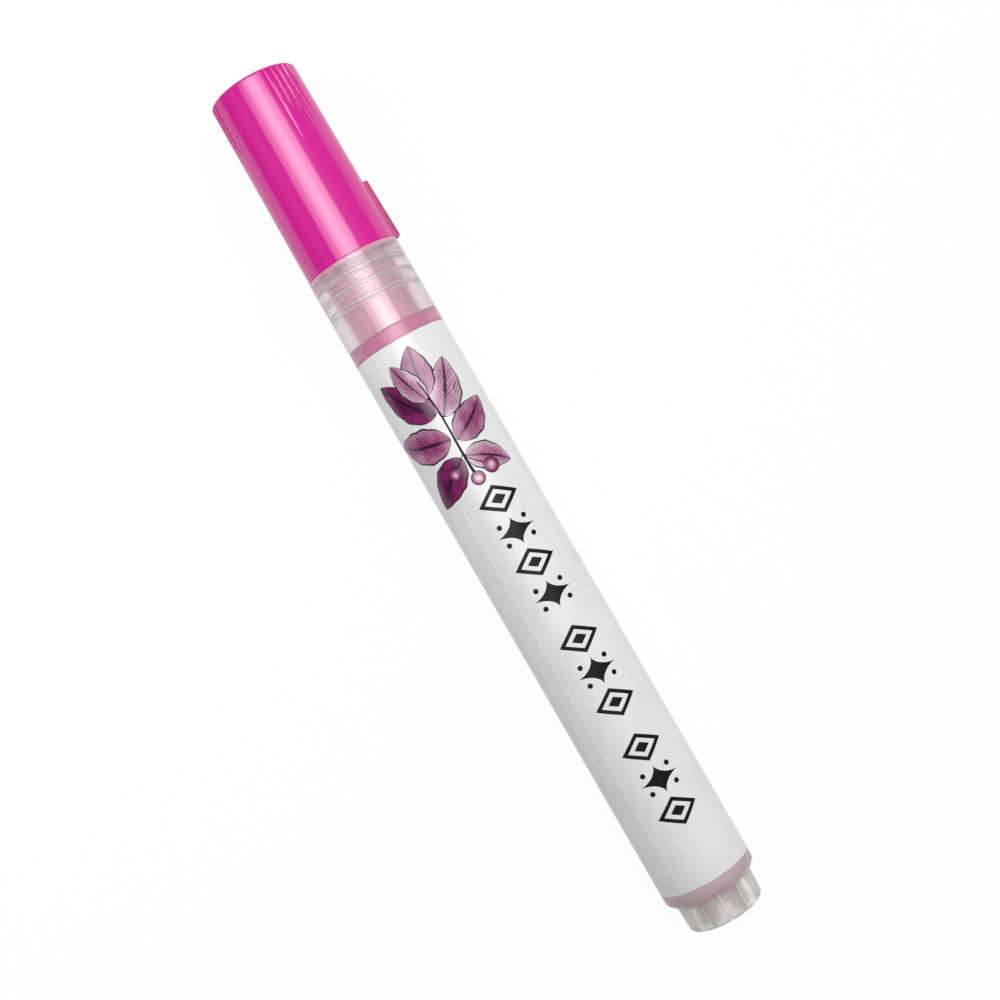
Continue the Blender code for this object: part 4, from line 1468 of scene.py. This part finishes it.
@dataclass
class Barrel:
    """Paint tube with its threaded neck, cone floor and hollow, ribbed tail."""

    axis: PenAxis
    thread: Thread
    radius: float = 7.5 * MM
    bore: float = 6.4 * MM
    front_wall: float = 1.3 * MM
    front_chamfer: float = 1.2 * MM
    front_edge: float = 0.09 * MM
    neck_radius: float = 5.2 * MM
    neck_bore: float = 4.0 * MM
    neck_length: float = 9.8 * MM
    neck_edge: float = 0.25 * MM
    neck_step: float = 0.08 * MM
    recess: float = 0.17 * MM
    recess_edge: float = 0.04 * MM
    recess_gap: float = 0.05 * MM
    shoulder: Pair = (4.5 * MM, 5.9 * MM)
    shoulder_flat: float = 0.45 * MM
    shoulder_round: float = 0.55 * MM
    shoulder_lip: float = 0.06 * MM
    shoulder_foot: float = 0.42 * MM
    tail_root: float = 6.27 * MM
    tail_tip: float = 6.15 * MM
    tail_edge: float = 0.7 * MM
    tail_bore: float = 5.0 * MM
    floor_tip: float = 2.6 * MM
    floor_slope: float = 0.9
    floor_round: float = 1.5 * MM
    floor_wall: float = 1.0 * MM
    rib_count: int = 12
    rib_phase: float = 1.0
    rib_half: float = 0.25 * MM
    rib_line: float = 0.13 * MM
    rib_hub: float = 2.6 * MM
    rib_recess: float = 0.4 * MM
    bay_columns: int = 16

    @property
    def front(self) -> float:
        """Station of the barrel's front face, which the neck stands on."""
        return self.axis.stations("barrel")[1] - self.neck_length

    def floor_at(self, radius: np.ndarray, tip: float) -> np.ndarray:
        """Station of the cone floor: tip + slope * (sqrt(r^2 + k^2) - k)."""
        return tip + self.floor_slope * (np.hypot(radius, self.floor_round) - self.floor_round)

    def column_angles(self, radius: np.ndarray) -> tuple[np.ndarray, np.ndarray]:
        """Angles of the columns at some radii, and which columns belong to a rib.

        A rib has parallel faces, so its half angle is asin(t / r), and the bays share what is left.
        The columns run: rib edge, rib middle, rib edge, then the bay's own.

        Args:
            radius: the radii.

        Returns:
            The angles, with the columns along the last axis, and the columns' mask.
        """
        step = 2 * np.pi / self.rib_count
        phase = math.radians(self.rib_phase)
        half = np.arcsin(self.rib_half / np.maximum(radius, self.rib_hub))[..., None, None]
        share = np.linspace(0, 1, self.bay_columns)
        rib = half * np.array([-1.0, 0.0, 1.0])
        bay = half + (step - 2 * half) * share
        one = np.concatenate([rib, bay], axis=-1)
        middles = (phase + step * np.arange(self.rib_count))[:, None]
        every = (middles + one).reshape(*np.shape(radius), -1)
        of_rib = np.tile(np.arange(3 + self.bay_columns) < 3, self.rib_count)
        return every, of_rib

    def build(self) -> Piece:
        """The tube as one surface from the cone floor's tip, out over the neck and back to the tail.

        Returns:
            The tube.
        """
        front, neck_end = self.front, self.front + self.neck_length
        label_start, label_end = self.axis.stations("label")
        recess_start, recess_end = label_start - self.recess_gap, label_end + self.recess_gap
        floor_radii = np.linspace(0, self.bore, 13)
        inside_front = front - self.front_wall
        inner = np.concatenate([
            joined(self.floor_at(floor_radii, self.floor_tip), floor_radii),
            refined(rounded([
                Corner(self.floor_at(self.bore, self.floor_tip), self.bore),
                Corner(inside_front - self.front_chamfer, self.bore),
                Corner(inside_front, self.bore - self.front_chamfer),
                Corner(inside_front, self.neck_bore),
                Corner(neck_end, self.neck_bore),
            ]), 12 * MM)[1:],
        ])
        outer = rounded([
            Corner(neck_end, self.neck_bore),
            Corner(neck_end, self.neck_radius, self.neck_edge),
            Corner(front, self.neck_radius),
        ])[1:-1]
        step = self.neck_step
        neck = joined(np.arange(outer[-1, 0] - step, self.thread.start - step, -step), self.neck_radius)
        body = rounded([
            Corner(front, self.neck_radius),
            Corner(front, self.radius, self.front_edge),
            Corner(recess_end, self.radius, self.recess_edge),
            Corner(recess_end, self.radius - self.recess),
            Corner(recess_start, self.radius - self.recess),
            Corner(recess_start, self.radius, self.recess_edge),
            Corner(self.shoulder[1], self.radius),
        ])
        shoulder = rounded([
            Corner(self.shoulder[1], self.radius),
            Corner(self.shoulder[1] - self.shoulder_flat, self.radius, self.shoulder_round),
            Corner(self.shoulder[0] + self.shoulder_lip, self.tail_root + self.shoulder_foot, 0.25 * MM),
            Corner(self.shoulder[0], self.tail_root),
        ])
        tail = rounded([
            Corner(self.shoulder[0], self.tail_root),
            Corner(0, self.tail_tip, self.tail_edge),
            Corner(0, self.tail_bore),
        ], 8)
        outline = np.concatenate([inner, outer, neck, body, shoulder[1:], refined(tail, 0.8 * MM)[1:]])
        station, radius = outline[:, :1], outline[:, 1:]
        angles, of_rib = self.column_angles(outline[:, 1])
        on_neck = np.abs(radius - self.neck_radius) < SAME_LENGTH
        raised = radius + np.where(on_neck, self.thread.ridge(station, angles), 0)
        grid = np.concatenate([self.axis.place(station, raised, angles), self.hollow(of_rib)])
        return mesh_piece("paint_tube", Patch(grid, wrap_columns=True), sharp=32)

    def hollow(self, of_rib: np.ndarray) -> np.ndarray:
        """Rows of the tail's hollow, from its mouth to the underside of the cone floor.

        A bay's columns run up the bore to the floor and in along it. A rib's columns run in along
        its lower edge to the hub and up its tip to the floor, so a rib's faces lie between the two.

        Args:
            of_rib: which columns belong to a rib.

        Returns:
            The rows' points.
        """
        under = self.floor_tip - self.floor_wall
        share = np.linspace(0, 1, 8)
        inward = self.tail_bore + (self.rib_hub - self.tail_bore) * share

        def up_at(radius: float) -> np.ndarray:
            """Rows straight up to the floor at a radius."""
            low, high = self.rib_recess, self.floor_at(radius, under)
            return joined(low + (high - low) * share, radius)

        def along_floor(radii: np.ndarray) -> np.ndarray:
            """Rows on the floor's underside."""
            return joined(self.floor_at(radii, under), radii)

        bay = np.concatenate([up_at(self.tail_bore), along_floor(inward[1:])])
        rib = np.concatenate([joined(self.rib_recess, inward), up_at(self.rib_hub)[1:]])
        core = along_floor(np.linspace(self.rib_hub, 0, 7)[1:])
        paths = np.where(of_rib[None, :, None], rib[:, None, :], bay[:, None, :])
        paths = np.concatenate([paths, np.broadcast_to(core[:, None, :], (len(core), len(of_rib), 2))])
        station, radius = paths[..., 0], paths[..., 1]
        every, _ = self.column_angles(radius)
        column = np.arange(len(of_rib))
        angles = every[np.arange(len(station))[:, None], column, column]
        return self.axis.place(station, radius, angles)

    def dress(self, finishes: Finishes) -> None:
        """Build and hand over the tube."""
        hand_over(self.build(), finishes.barrel, "pen", "barrel")


@dataclass
class PaintFill:
    """The paint, which wets the tube's inside from the cone floor to the neck's end."""

    axis: PenAxis
    tube: Barrel
    facets: int = 160
    wetting: float = 0.006 * MM
    end_edge: float = 0.05 * MM
    pocket_radius: float = 3.15 * MM
    plunger_room: float = 2.3 * MM

    def build(self) -> Piece:
        """The charge as one surface, pressed a hair into the tube's wall so that no air shows.

        Returns:
            The charge.
        """
        tube = self.tube
        bore = tube.bore + self.wetting
        neck_bore = tube.neck_bore + self.wetting
        front = tube.front - tube.front_wall + self.wetting
        end = self.axis.stations("paint")[1]
        pocket_end = self.axis.stations("valve_stem")[0] - self.plunger_room
        radii = np.linspace(0, bore, 13)
        floor = joined(tube.floor_at(radii, tube.floor_tip - self.wetting), radii)
        rest = rounded([
            Corner(*floor[-1]),
            Corner(front - tube.front_chamfer, bore),
            Corner(front, bore - tube.front_chamfer),
            Corner(front, neck_bore),
            Corner(end, neck_bore, self.end_edge),
            Corner(end, self.pocket_radius, self.end_edge),
            Corner(pocket_end, self.pocket_radius),
            Corner(pocket_end, 0),
        ])
        outline = refined(np.concatenate([floor, rest[1:]]), 10 * MM)
        return turned("paint_charge", self.axis, outline, self.facets)

    def dress(self, finishes: Finishes) -> None:
        """Build and hand over the paint."""
        hand_over(self.build(), finishes.paint, "pen", "paint")


@dataclass(frozen=True)
class Leaf:
    """A printed leaf on the label's flat sheet, in millimetres along the pen and round it."""

    root: Pair
    heading: float
    length: float
    width: float
    bend: float
    tone: Tone


@dataclass(frozen=True)
class Motif:
    """A printed ornament |x / a|^n + |y / b|^n = 1, hollow up to a share of its size."""

    centre: Pair
    half_length: float
    half_height: float
    power: float
    hollow: float = 0.0


@dataclass
class Label:
    """Glossy white sleeve with its print: a sprig of leaves near the cap and a row of ornament."""

    axis: PenAxis
    facets: int = 256
    radius: float = 7.5 * MM
    thickness: float = 0.12 * MM
    edge: float = 0.03 * MM
    ink_height: float = 0.008 * MM
    layer_height: float = 0.003 * MM
    ink_depth: float = 0.045 * MM
    row_start: float = 71.3
    row_arc: float = 1.25
    row_pitch: float = 5.35
    row_gap: float = 2.3
    ring_step: float = 0.3
    motif_rays: int = 64
    row_groups: tuple[int, ...] = (4, 3, 3)
    seam_angle: float = -34.0
    seam_step: float = 0.035 * MM
    seam_fade: float = 14.0
    seam_cliff: float = 0.2
    seam_bridge: float = 3.5

    def overlap(self, angles: np.ndarray, ahead: float = 0.0) -> np.ndarray:
        """Rise of the film where its end laps over its start: a cliff at the seam, then a slow fall.

        Args:
            angles: angles round the pen.
            ahead: how far before the cliff the rise is complete, so that print doesn't dip under it.

        Returns:
            The rise at each angle.
        """
        beside = wrapped(angles - math.radians(self.seam_angle))
        cliff = math.radians(self.seam_cliff)
        rise = smooth_step(ahead - beside, -cliff, cliff)
        return self.seam_step * rise * (1 - smooth_step(-beside, cliff, math.radians(self.seam_fade)))

    def build_sleeve(self) -> Piece:
        """The film as a thin ring section, with the step of its overlap at the back.

        Returns:
            The sleeve.
        """
        start, end = self.axis.stations("label")
        outline = refined(rounded([
            Corner(start, self.radius - self.thickness),
            Corner(start, self.radius, self.edge),
            Corner(end, self.radius, self.edge),
            Corner(end, self.radius - self.thickness),
            Corner(start, self.radius - self.thickness),
        ], 3)[:-1], 4 * MM)
        cliff = math.radians(self.seam_cliff)
        angles = round_angles(self.facets, math.radians(self.seam_angle) + np.linspace(-cliff, cliff, 4))
        outer = outline[:, 1:] > self.radius - self.thickness / 2
        radius = outline[:, 1:] + np.where(outer, self.overlap(angles)[None, :], 0)
        grid = self.axis.place(outline[:, :1], radius, angles[None, :])
        return mesh_piece("label_film", Patch(grid, wrap_rows=True, wrap_columns=True))

    def printed(self, flat: np.ndarray, layer: int = 0) -> np.ndarray:
        """Lay flat points (station, arc length), in millimetres, on the film, each layer over the last.

        Args:
            flat: the points.
            layer: how many layers of print lie under it.

        Returns:
            The points on the film.
        """
        angles = flat[..., 1] * MM / self.radius
        film = self.radius + self.overlap(angles, math.radians(self.seam_bridge))
        return self.axis.place(flat[..., 0] * MM, film + self.ink_height + layer * self.layer_height, angles)

    def leaf_patch(self, leaf: Leaf, layer: int) -> Patch:
        """A leaf: at the share u of its bent midrib it is w * sin(pi * u^0.8)^0.75 wide, a little waved.

        Args:
            leaf: the leaf.
            layer: how many layers of print lie under it.

        Returns:
            Its grid, charted along the leaf and across it.
        """
        u = np.linspace(0, 1, 41)[:, None]
        v = np.linspace(-1, 1, 17)[None, :]
        heading = math.radians(leaf.heading)
        ahead = np.array([math.cos(heading), math.sin(heading)])
        aside = np.array([-math.sin(heading), math.cos(heading)])
        width = leaf.width / 2 * np.sin(np.pi * u**0.8) ** 0.75 * (1 + 0.03 * np.sin(26 * u + 3 * leaf.bend))
        lean = np.arctan(2 * leaf.bend * u / leaf.length)
        forward = leaf.length * u - width * v * np.sin(lean)
        sideways = leaf.bend * u**2 + width * v * np.cos(lean)
        flat = np.array(leaf.root) + forward[..., None] * ahead + sideways[..., None] * aside
        return Patch(self.printed(flat, layer), chart=joined(u, (v + 1) / 2))

    def motif_patch(self, motif: Motif, layer: int = 0) -> Patch:
        """An ornament: rays from its hollow out to the curve, at evenly spaced angles.

        Args:
            motif: the ornament.
            layer: how many layers of print lie under it.

        Returns:
            Its grid, charted round it and outwards.
        """
        turn = np.linspace(0, 2 * np.pi, self.motif_rays + 1)[None, :]
        rings = 2 + math.ceil(motif.half_height * (1 - motif.hollow) / self.ring_step)
        share = np.linspace(motif.hollow, 1, rings)[:, None]
        x = np.sign(np.cos(turn)) * np.abs(np.cos(turn)) ** (2 / motif.power)
        y = np.sign(np.sin(turn)) * np.abs(np.sin(turn)) ** (2 / motif.power)
        flat = motif.centre + share[..., None] * joined(motif.half_length * x, motif.half_height * y)
        return Patch(self.printed(flat, layer), chart=joined(turn / (2 * np.pi), share))

    def stem_patch(self, points: Sequence[Pair], width: float, layer: int) -> Patch:
        """A stem: a smooth curve through its points, with a ribbon that narrows to its end.

        Args:
            points: what guides the curve.
            width: its width at its foot.
            layer: how many layers of print lie under it.

        Returns:
            Its grid.
        """
        knots = np.array(points)
        u = np.linspace(0, 1, 60)
        last = len(knots) - 1
        basis = [math.comb(last, k) * u**k * (1 - u) ** (last - k) for k in range(last + 1)]
        middle = np.stack(basis, axis=1) @ knots
        ahead = unit(np.gradient(middle, axis=0))
        aside = joined(-ahead[:, 1], ahead[:, 0])
        v = np.linspace(-0.5, 0.5, 3)
        ribbon = middle[:, None] + aside[:, None] * (width * (1 - 0.6 * u))[:, None, None] * v[None, :, None]
        return Patch(self.printed(ribbon, layer))

    def leaves(self) -> list[Leaf]:
        """The sprig's leaves, in leaning pairs from the foot of the stem to its tip.

        Returns:
            The leaves, each printed over the one before.
        """
        return [
            Leaf((79.2, 0.1), 112, 7.4, 4.4, 1.0, Tone.PALE),
            Leaf((79.2, -0.5), -122, 8.8, 5.0, -1.0, Tone.PLUM),
            Leaf((81.8, 0.3), 66, 8.2, 5.0, -1.2, Tone.ROSE),
            Leaf((82.3, -0.5), -82, 9.8, 5.6, 1.3, Tone.ROSE),
            Leaf((85.6, 0.2), 36, 9.2, 5.4, -1.1, Tone.PALE),
            Leaf((86.4, -0.6), -46, 9.8, 5.2, 1.4, Tone.PLUM),
            Leaf((89.4, -0.4), 4, 8.0, 4.8, 0.6, Tone.ROSE),
            Leaf((89.0, -0.6), -26, 7.4, 3.8, 0.8, Tone.PALE),
        ]

    def berries(self) -> list[Motif]:
        """Three berries at the sprig's foot."""
        return [Motif(centre, size, size, 2.0, 0.0) for centre, size in (
            ((76.2, 2.9), 1.25), ((77.4, -2.6), 1.0), ((75.4, 0.2), 1.1))]

    def ornament(self) -> list[Motif]:
        """The row along the pen: lozenges and stars by turns, in groups, with dots between them.

        Returns:
            The row's ornaments.
        """
        row: list[Motif] = []
        station, middle = self.row_start, self.row_arc
        for group in self.row_groups:
            for place in range(group):
                if place % 2 == 0:
                    row.append(Motif((station, middle), 2.3, 3.35, 1.0, 0.70))
                    row.append(Motif((station, middle), 0.85, 1.25, 1.0))
                else:
                    row.append(Motif((station, middle), 2.3, 3.35, 0.6))
                    corners = [(along, around) for along in (-1.5, 1.5) for around in (-2.1, 2.1)]
                    row += [Motif((station + a, middle + b), 0.4, 0.4, 2.0) for a, b in corners]
                station -= self.row_pitch
            station -= self.row_gap
        return row

    def dress(self, finishes: Finishes) -> None:
        """Build and hand over the sleeve and its print.

        Args:
            finishes: every material of the pen.
        """
        hand_over(self.build_sleeve(), finishes.film, "pen", "label")
        sprig = self.leaves()
        for tone in Tone:
            patches = [self.leaf_patch(leaf, layer) for layer, leaf in enumerate(sprig) if leaf.tone is tone]
            self.print_on(f"leaf_print_{tone.name.lower()}", patches, finishes.leaves[tone])
        stems = [self.stem_patch(points, width, len(sprig)) for points, width in (
            ([(75.4, 0.2), (80.0, -0.4), (86.0, 0.6), (92.0, -0.6)], 0.45),
            ([(76.2, 2.9), (77.6, 1.6), (78.4, 0.4), (79.4, -0.1)], 0.22),
            ([(77.4, -2.6), (78.2, -1.6), (78.8, -0.8), (79.6, -0.2)], 0.22),
        )]
        self.print_on("stem_print", stems, finishes.black)
        berries = [self.motif_patch(motif, len(sprig) + 1) for motif in self.berries()]
        self.print_on("berry_print", berries, finishes.berry)
        ornament = [self.motif_patch(motif) for motif in self.ornament()]
        self.print_on("ornament_print", ornament, finishes.black)

    def print_on(self, name: str, patches: Sequence[Patch], ink: Material) -> None:
        """Hand over a print, given a thickness that reaches down into the film.

        Args:
            name: its name.
            patches: its grids.
            ink: its material.
        """
        piece = mesh_piece(name, *patches, solid=False)
        depth = piece.modifiers.new("depth", "SOLIDIFY")
        depth.thickness = self.ink_depth
        depth.offset = -1.0
        hand_over(piece, ink, "pen")


@dataclass
class Valve:
    """Nib, stem, spring, washer, cage, gasket and ball."""

    axis: PenAxis
    neck: Barrel
    facets: int = 96
    travel: float = 2.0 * MM
    nib_radius: float = 1.25 * MM
    nib_bullet: float = 2.6 * MM
    rod_radius: float = 0.9 * MM
    head_radius: float = 2.0 * MM
    head_length: float = 1.2 * MM
    guide_radius: float = 0.75 * MM
    washer_bore: float = 1.35 * MM
    washer_radius: float = 3.1 * MM
    ring_edge: float = 0.08 * MM
    spring_wire: float = 0.18 * MM
    spring_radius: float = 1.82 * MM
    spring_turns: int = 7

    def build_nib(self) -> Piece:
        """The nib, whose end is half an ellipse.

        Returns:
            The nib.
        """
        start, end = self.axis.stations("nib")
        radius, bullet = self.nib_radius, self.nib_bullet
        quarter = np.linspace(0, np.pi / 2, 19)
        tip = joined(end - bullet * (1 - np.cos(quarter)), radius * np.sin(quarter))
        rear = rounded([Corner(*tip[-1]), Corner(start, radius, 0.15 * MM), Corner(start, 0)])
        outline = refined(np.concatenate([tip, rear[1:]]), 1.0 * MM)
        return turned("fibre_nib", self.axis, outline, self.facets)

    def build_stem(self) -> Piece:
        """The plunger: front rod, sealing head and the rod inside the spring.

        Returns:
            The plunger.
        """
        start, end = self.axis.stations("valve_stem")
        head_end = self.axis.stations("valve_housing")[1]
        head_start = head_end - self.head_length
        outline = rounded([
            Corner(end, 0),
            Corner(end, self.rod_radius, 0.1 * MM),
            Corner(head_end, self.rod_radius, 0.08 * MM),
            Corner(head_end, self.head_radius, 0.12 * MM),
            Corner(head_start, self.head_radius, 0.08 * MM),
            Corner(head_start, self.guide_radius, 0.08 * MM),
            Corner(start, self.guide_radius, 0.1 * MM),
            Corner(start, 0),
        ])
        return turned("plunger", self.axis, outline, self.facets)

    def build_ring(self, name: str, node: str, bore: float, radius: float) -> Piece:
        """A soft ring with rounded edges where a CAD node is.

        Args:
            name: its name.
            node: the CAD node.
            bore: its inner radius.
            radius: its outer radius.

        Returns:
            The ring.
        """
        start, end = self.axis.stations(node)
        outline = rounded([
            Corner(start, bore),
            Corner(start, radius, self.ring_edge),
            Corner(end, radius, self.ring_edge),
            Corner(end, bore, self.ring_edge),
            Corner(start, bore),
        ])[:-1]
        return turned(name, self.axis, outline, self.facets, closed=True)

    def build_spring(self) -> Piece:
        """The spring: a circle carried along the helix (s, R cos a, R sin a), with flat ends.

        Returns:
            The spring.
        """
        start, end = self.axis.stations("valve_spring")
        wire = self.spring_wire
        share = np.linspace(0, 1, self.spring_turns * 36 + 1)
        turn = 2 * np.pi * self.spring_turns * share
        length = end - start - 2 * wire
        middle = self.axis.place(start + wire + length * share, self.spring_radius, turn)
        ahead = unit(np.gradient(middle, axis=0))
        outward = joined(0.0, -np.sin(turn), np.cos(turn))
        side = unit(np.cross(ahead, outward))
        up = np.cross(side, ahead)
        around = np.linspace(0, 2 * np.pi, 12, endpoint=False)[None, :, None]
        middle = middle[:, None]
        rings = middle + wire * (np.cos(around) * up[:, None] + np.sin(around) * side[:, None])
        caps = [np.repeat(point, rings.shape[1], axis=1) for point in (middle[:1], middle[-1:])]
        grid = np.concatenate([caps[0], rings, caps[1]])
        return mesh_piece("coil_spring", Patch(grid, wrap_columns=True), sharp=60)

    def build_ball(self) -> Piece:
        """The mixing ball, by latitude and longitude about its own centre.

        Returns:
            The ball.
        """
        low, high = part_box("mixing_ball")
        centre = np.array((low + high) / 2)
        radius = (high.x - low.x) / 2
        latitude = np.linspace(-np.pi / 2, np.pi / 2, 33)[:, None]
        longitude = np.linspace(0, 2 * np.pi, 64, endpoint=False)[None, :]
        out, up = np.cos(latitude), np.sin(latitude)
        ball = joined(out * np.cos(longitude), out * np.sin(longitude), up)
        return mesh_piece("steel_ball", Patch(centre + radius * ball, wrap_columns=True))

    def dress(self, finishes: Finishes) -> None:
        """Build and hand over the valve's pieces, and dress the cage that stays a CAD node.

        Args:
            finishes: every material of the pen.
        """
        hand_over(self.build_nib(), finishes.fibre, "nib", "nib")
        hand_over(self.build_stem(), finishes.natural, "nib", "valve_stem")
        washer = self.build_ring("washer", "valve_seal", self.washer_bore, self.washer_radius)
        hand_over(washer, finishes.elastomer, "pen", "valve_seal")
        gasket = self.build_ring("flat_gasket", "neck_gasket", self.neck.neck_bore, self.neck.neck_radius)
        hand_over(gasket, finishes.elastomer, "pen", "neck_gasket")
        spring = self.build_spring()
        hand_over(spring, finishes.steel, "pen", "valve_spring")
        start, end = self.axis.stations("valve_spring")
        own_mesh(spring)
        hand_over(self.build_ball(), finishes.steel, "mixing_ball", "mixing_ball")
        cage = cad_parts["valve_housing"]
        cage.data.materials.clear()
        cage.data.materials.append(finishes.wetted)


@dataclass
class Studio:
    """Camera, pale floor, soft lights and world."""

    axis: PenAxis
    camera_distance: float = 232 * MM
    camera_shift: Pair = (-0.80 * MM, -1.30 * MM)
    camera_turn: float = -119.95
    lens: float = 55.15
    floor_size: float = 3.0
    floor_drop: float = 0.03 * MM
    lamp_height: float = 0.40
    lamp_span: Pair = (-0.0055, 0.22)
    fill_place: Point = (0.12, 0.16, 0.13)
    fill_target: Point = (0.04, 0.0, 0.007)
    fill_size: float = 0.10
    fill_power: float = 0.11
    world_far: float = 0.8
    world_near: float = -0.9
    world_left: float = 0.01
    world_right: float = 0.78
    gloss_left: float = 0.12
    gloss_right: float = 0.17
    world_through: float = 0.55

    def set_camera(self) -> None:
        """Look straight down on the pen, with its cap towards the upper left."""
        data = bpy.data.cameras.new("camera")
        data.lens = self.lens
        data.clip_start = 0.01
        camera = shown("camera", data)
        camera.location = (*self.camera_shift, self.axis.height + self.camera_distance)
        camera.rotation_euler = (0, 0, math.radians(self.camera_turn))
        bpy.context.scene.camera = camera

    def lay_floor(self) -> None:
        """A flat square under the pen."""
        reach = np.linspace(-self.floor_size / 2, self.floor_size / 2, 3)
        x, y = np.meshgrid(reach, reach)
        floor = mesh_piece("floor", Patch(joined(x, y, -self.floor_drop)), solid=False)
        floor.data.materials.append(FloorPaper("floor").make())

    def lamp(self, name: str, shape: str, size: Pair, place: Point, energy: float) -> Piece:
        """Hang an area lamp that shines straight down.

        Args:
            name: its name.
            shape: its outline.
            size: its length and width.
            place: its place.
            energy: its power.

        Returns:
            The lamp.
        """
        data = bpy.data.lights.new(name, "AREA")
        data.shape = shape
        data.size, data.size_y = size
        data.energy = energy
        lamp = shown(name, data)
        lamp.location = place
        return lamp

    def soft_box(
        self, name: str, span: Pair, mirror: Pair, radiance: float, lift: float, spreads: bool = True
    ) -> None:
        """A soft box overhead, sized by where its mirror image lies on the pen.

        Light that comes straight down on the pen at the angle a leaves it at 2a, so the image's two
        edges at the angles a, b stand for the lamp's edges at height * tan(2a) and height * tan(2b).

        Args:
            name: its name.
            span: its lowest and highest x.
            mirror: the angles round the pen between which it is seen in the pen's gloss, in degrees.
            radiance: how bright its face is, where 1 is white.
            lift: how far above the studio's lamp height it hangs.
            spreads: whether it also lights matt surfaces.
        """
        height = self.lamp_height + lift - self.axis.height
        low, high = (-height * math.tan(math.radians(2 * angle)) for angle in reversed(mirror))
        size = (span[1] - span[0], high - low)
        place = ((span[0] + span[1]) / 2, (low + high) / 2, self.lamp_height + lift)
        lamp = self.lamp(name, "RECTANGLE", size, place, radiance * math.pi * size[0] * size[1])
        lamp.visible_diffuse = spreads

    def light(self) -> None:
        """A wide soft box over the pen's front half, two narrower ones within it and dim ones beside it."""
        start, end = self.lamp_span
        self.soft_box("soft_box", (start, end), (-14.5, 16.0), 2.6, 0)
        self.soft_box("soft_box_middle", (start, end), (-7.5, 14.5), 2.5, -0.004, spreads=False)
        self.soft_box("soft_box_core", (start, end), (-2.5, 8.0), 2.4, -0.008)
        self.soft_box("fade_box", (start - 0.041, start), (-12.0, 14.0), 1.1, 0.004)
        self.soft_box("side_box", (start, end), (16.0, 27.0), 0.35, 0.002, spreads=False)
        self.fill()

    def fill(self) -> None:
        """A round lamp that lifts the cap's left side and doesn't show in gloss."""
        lamp = self.lamp("fill", "DISK", (self.fill_size,) * 2, self.fill_place, self.fill_power)
        ahead = Vector(self.fill_target) - Vector(self.fill_place)
        lamp.rotation_euler = ahead.to_track_quat("-Z", "Y").to_euler()
        lamp.visible_glossy = False

    def set_world(self) -> None:
        """A room that is brighter towards the pen's right side, dimmer in gloss and white to look at."""
        world = bpy.data.worlds.new("world")
        bpy.context.scene.world = world
        recipe = Recipe(world)
        _, y, _ = recipe.parts(recipe.place("Generated"))
        right = y.between(self.world_far, self.world_near)
        room = right * (self.world_right - self.world_left) + self.world_left
        in_gloss = right * (self.gloss_right - self.gloss_left) + self.gloss_left
        gloss, camera, through = recipe.rays("Glossy", "Camera", "Transmission")
        lit = room + gloss * (in_gloss - room)
        strength = (lit + camera * (1.0 - lit)).more(through * self.world_through)
        white = {"Color": (1.0, 1.0, 1.0), "Strength": strength}
        recipe.raw("ShaderNodeOutputWorld", {}, {"Surface": recipe.node("ShaderNodeBackground", {}, white)})

    def set_up(self) -> None:
        """Put the whole studio in place."""
        self.set_camera()
        self.lay_floor()
        self.light()
        self.set_world()
        bpy.context.scene.view_settings.view_transform = "Standard"


def main() -> None:
    """Build and dress the pen."""
    logging.basicConfig(level=logging.INFO, format="%(name)s: %(message)s")
    axis = PenAxis.from_frame()
    Studio(axis).set_up()
    neck_end = axis.stations("barrel")[1]
    thread = Thread(neck_end - THREAD_REACH, neck_end - THREAD_INSET)
    grooves = Thread(thread.start, neck_end + GROOVE_OVERRUN, phase=0.5)
    cap, collar, tube = Cap(axis), FrontSection(axis, grooves), Barrel(axis, thread)
    finishes = Finishes.make(cap, grooves, tube)
    for assembly in (cap, collar, tube, PaintFill(axis, tube), Label(axis), Valve(axis, tube)):
        assembly.dress(finishes)


if __name__ == "__main__":
    main()
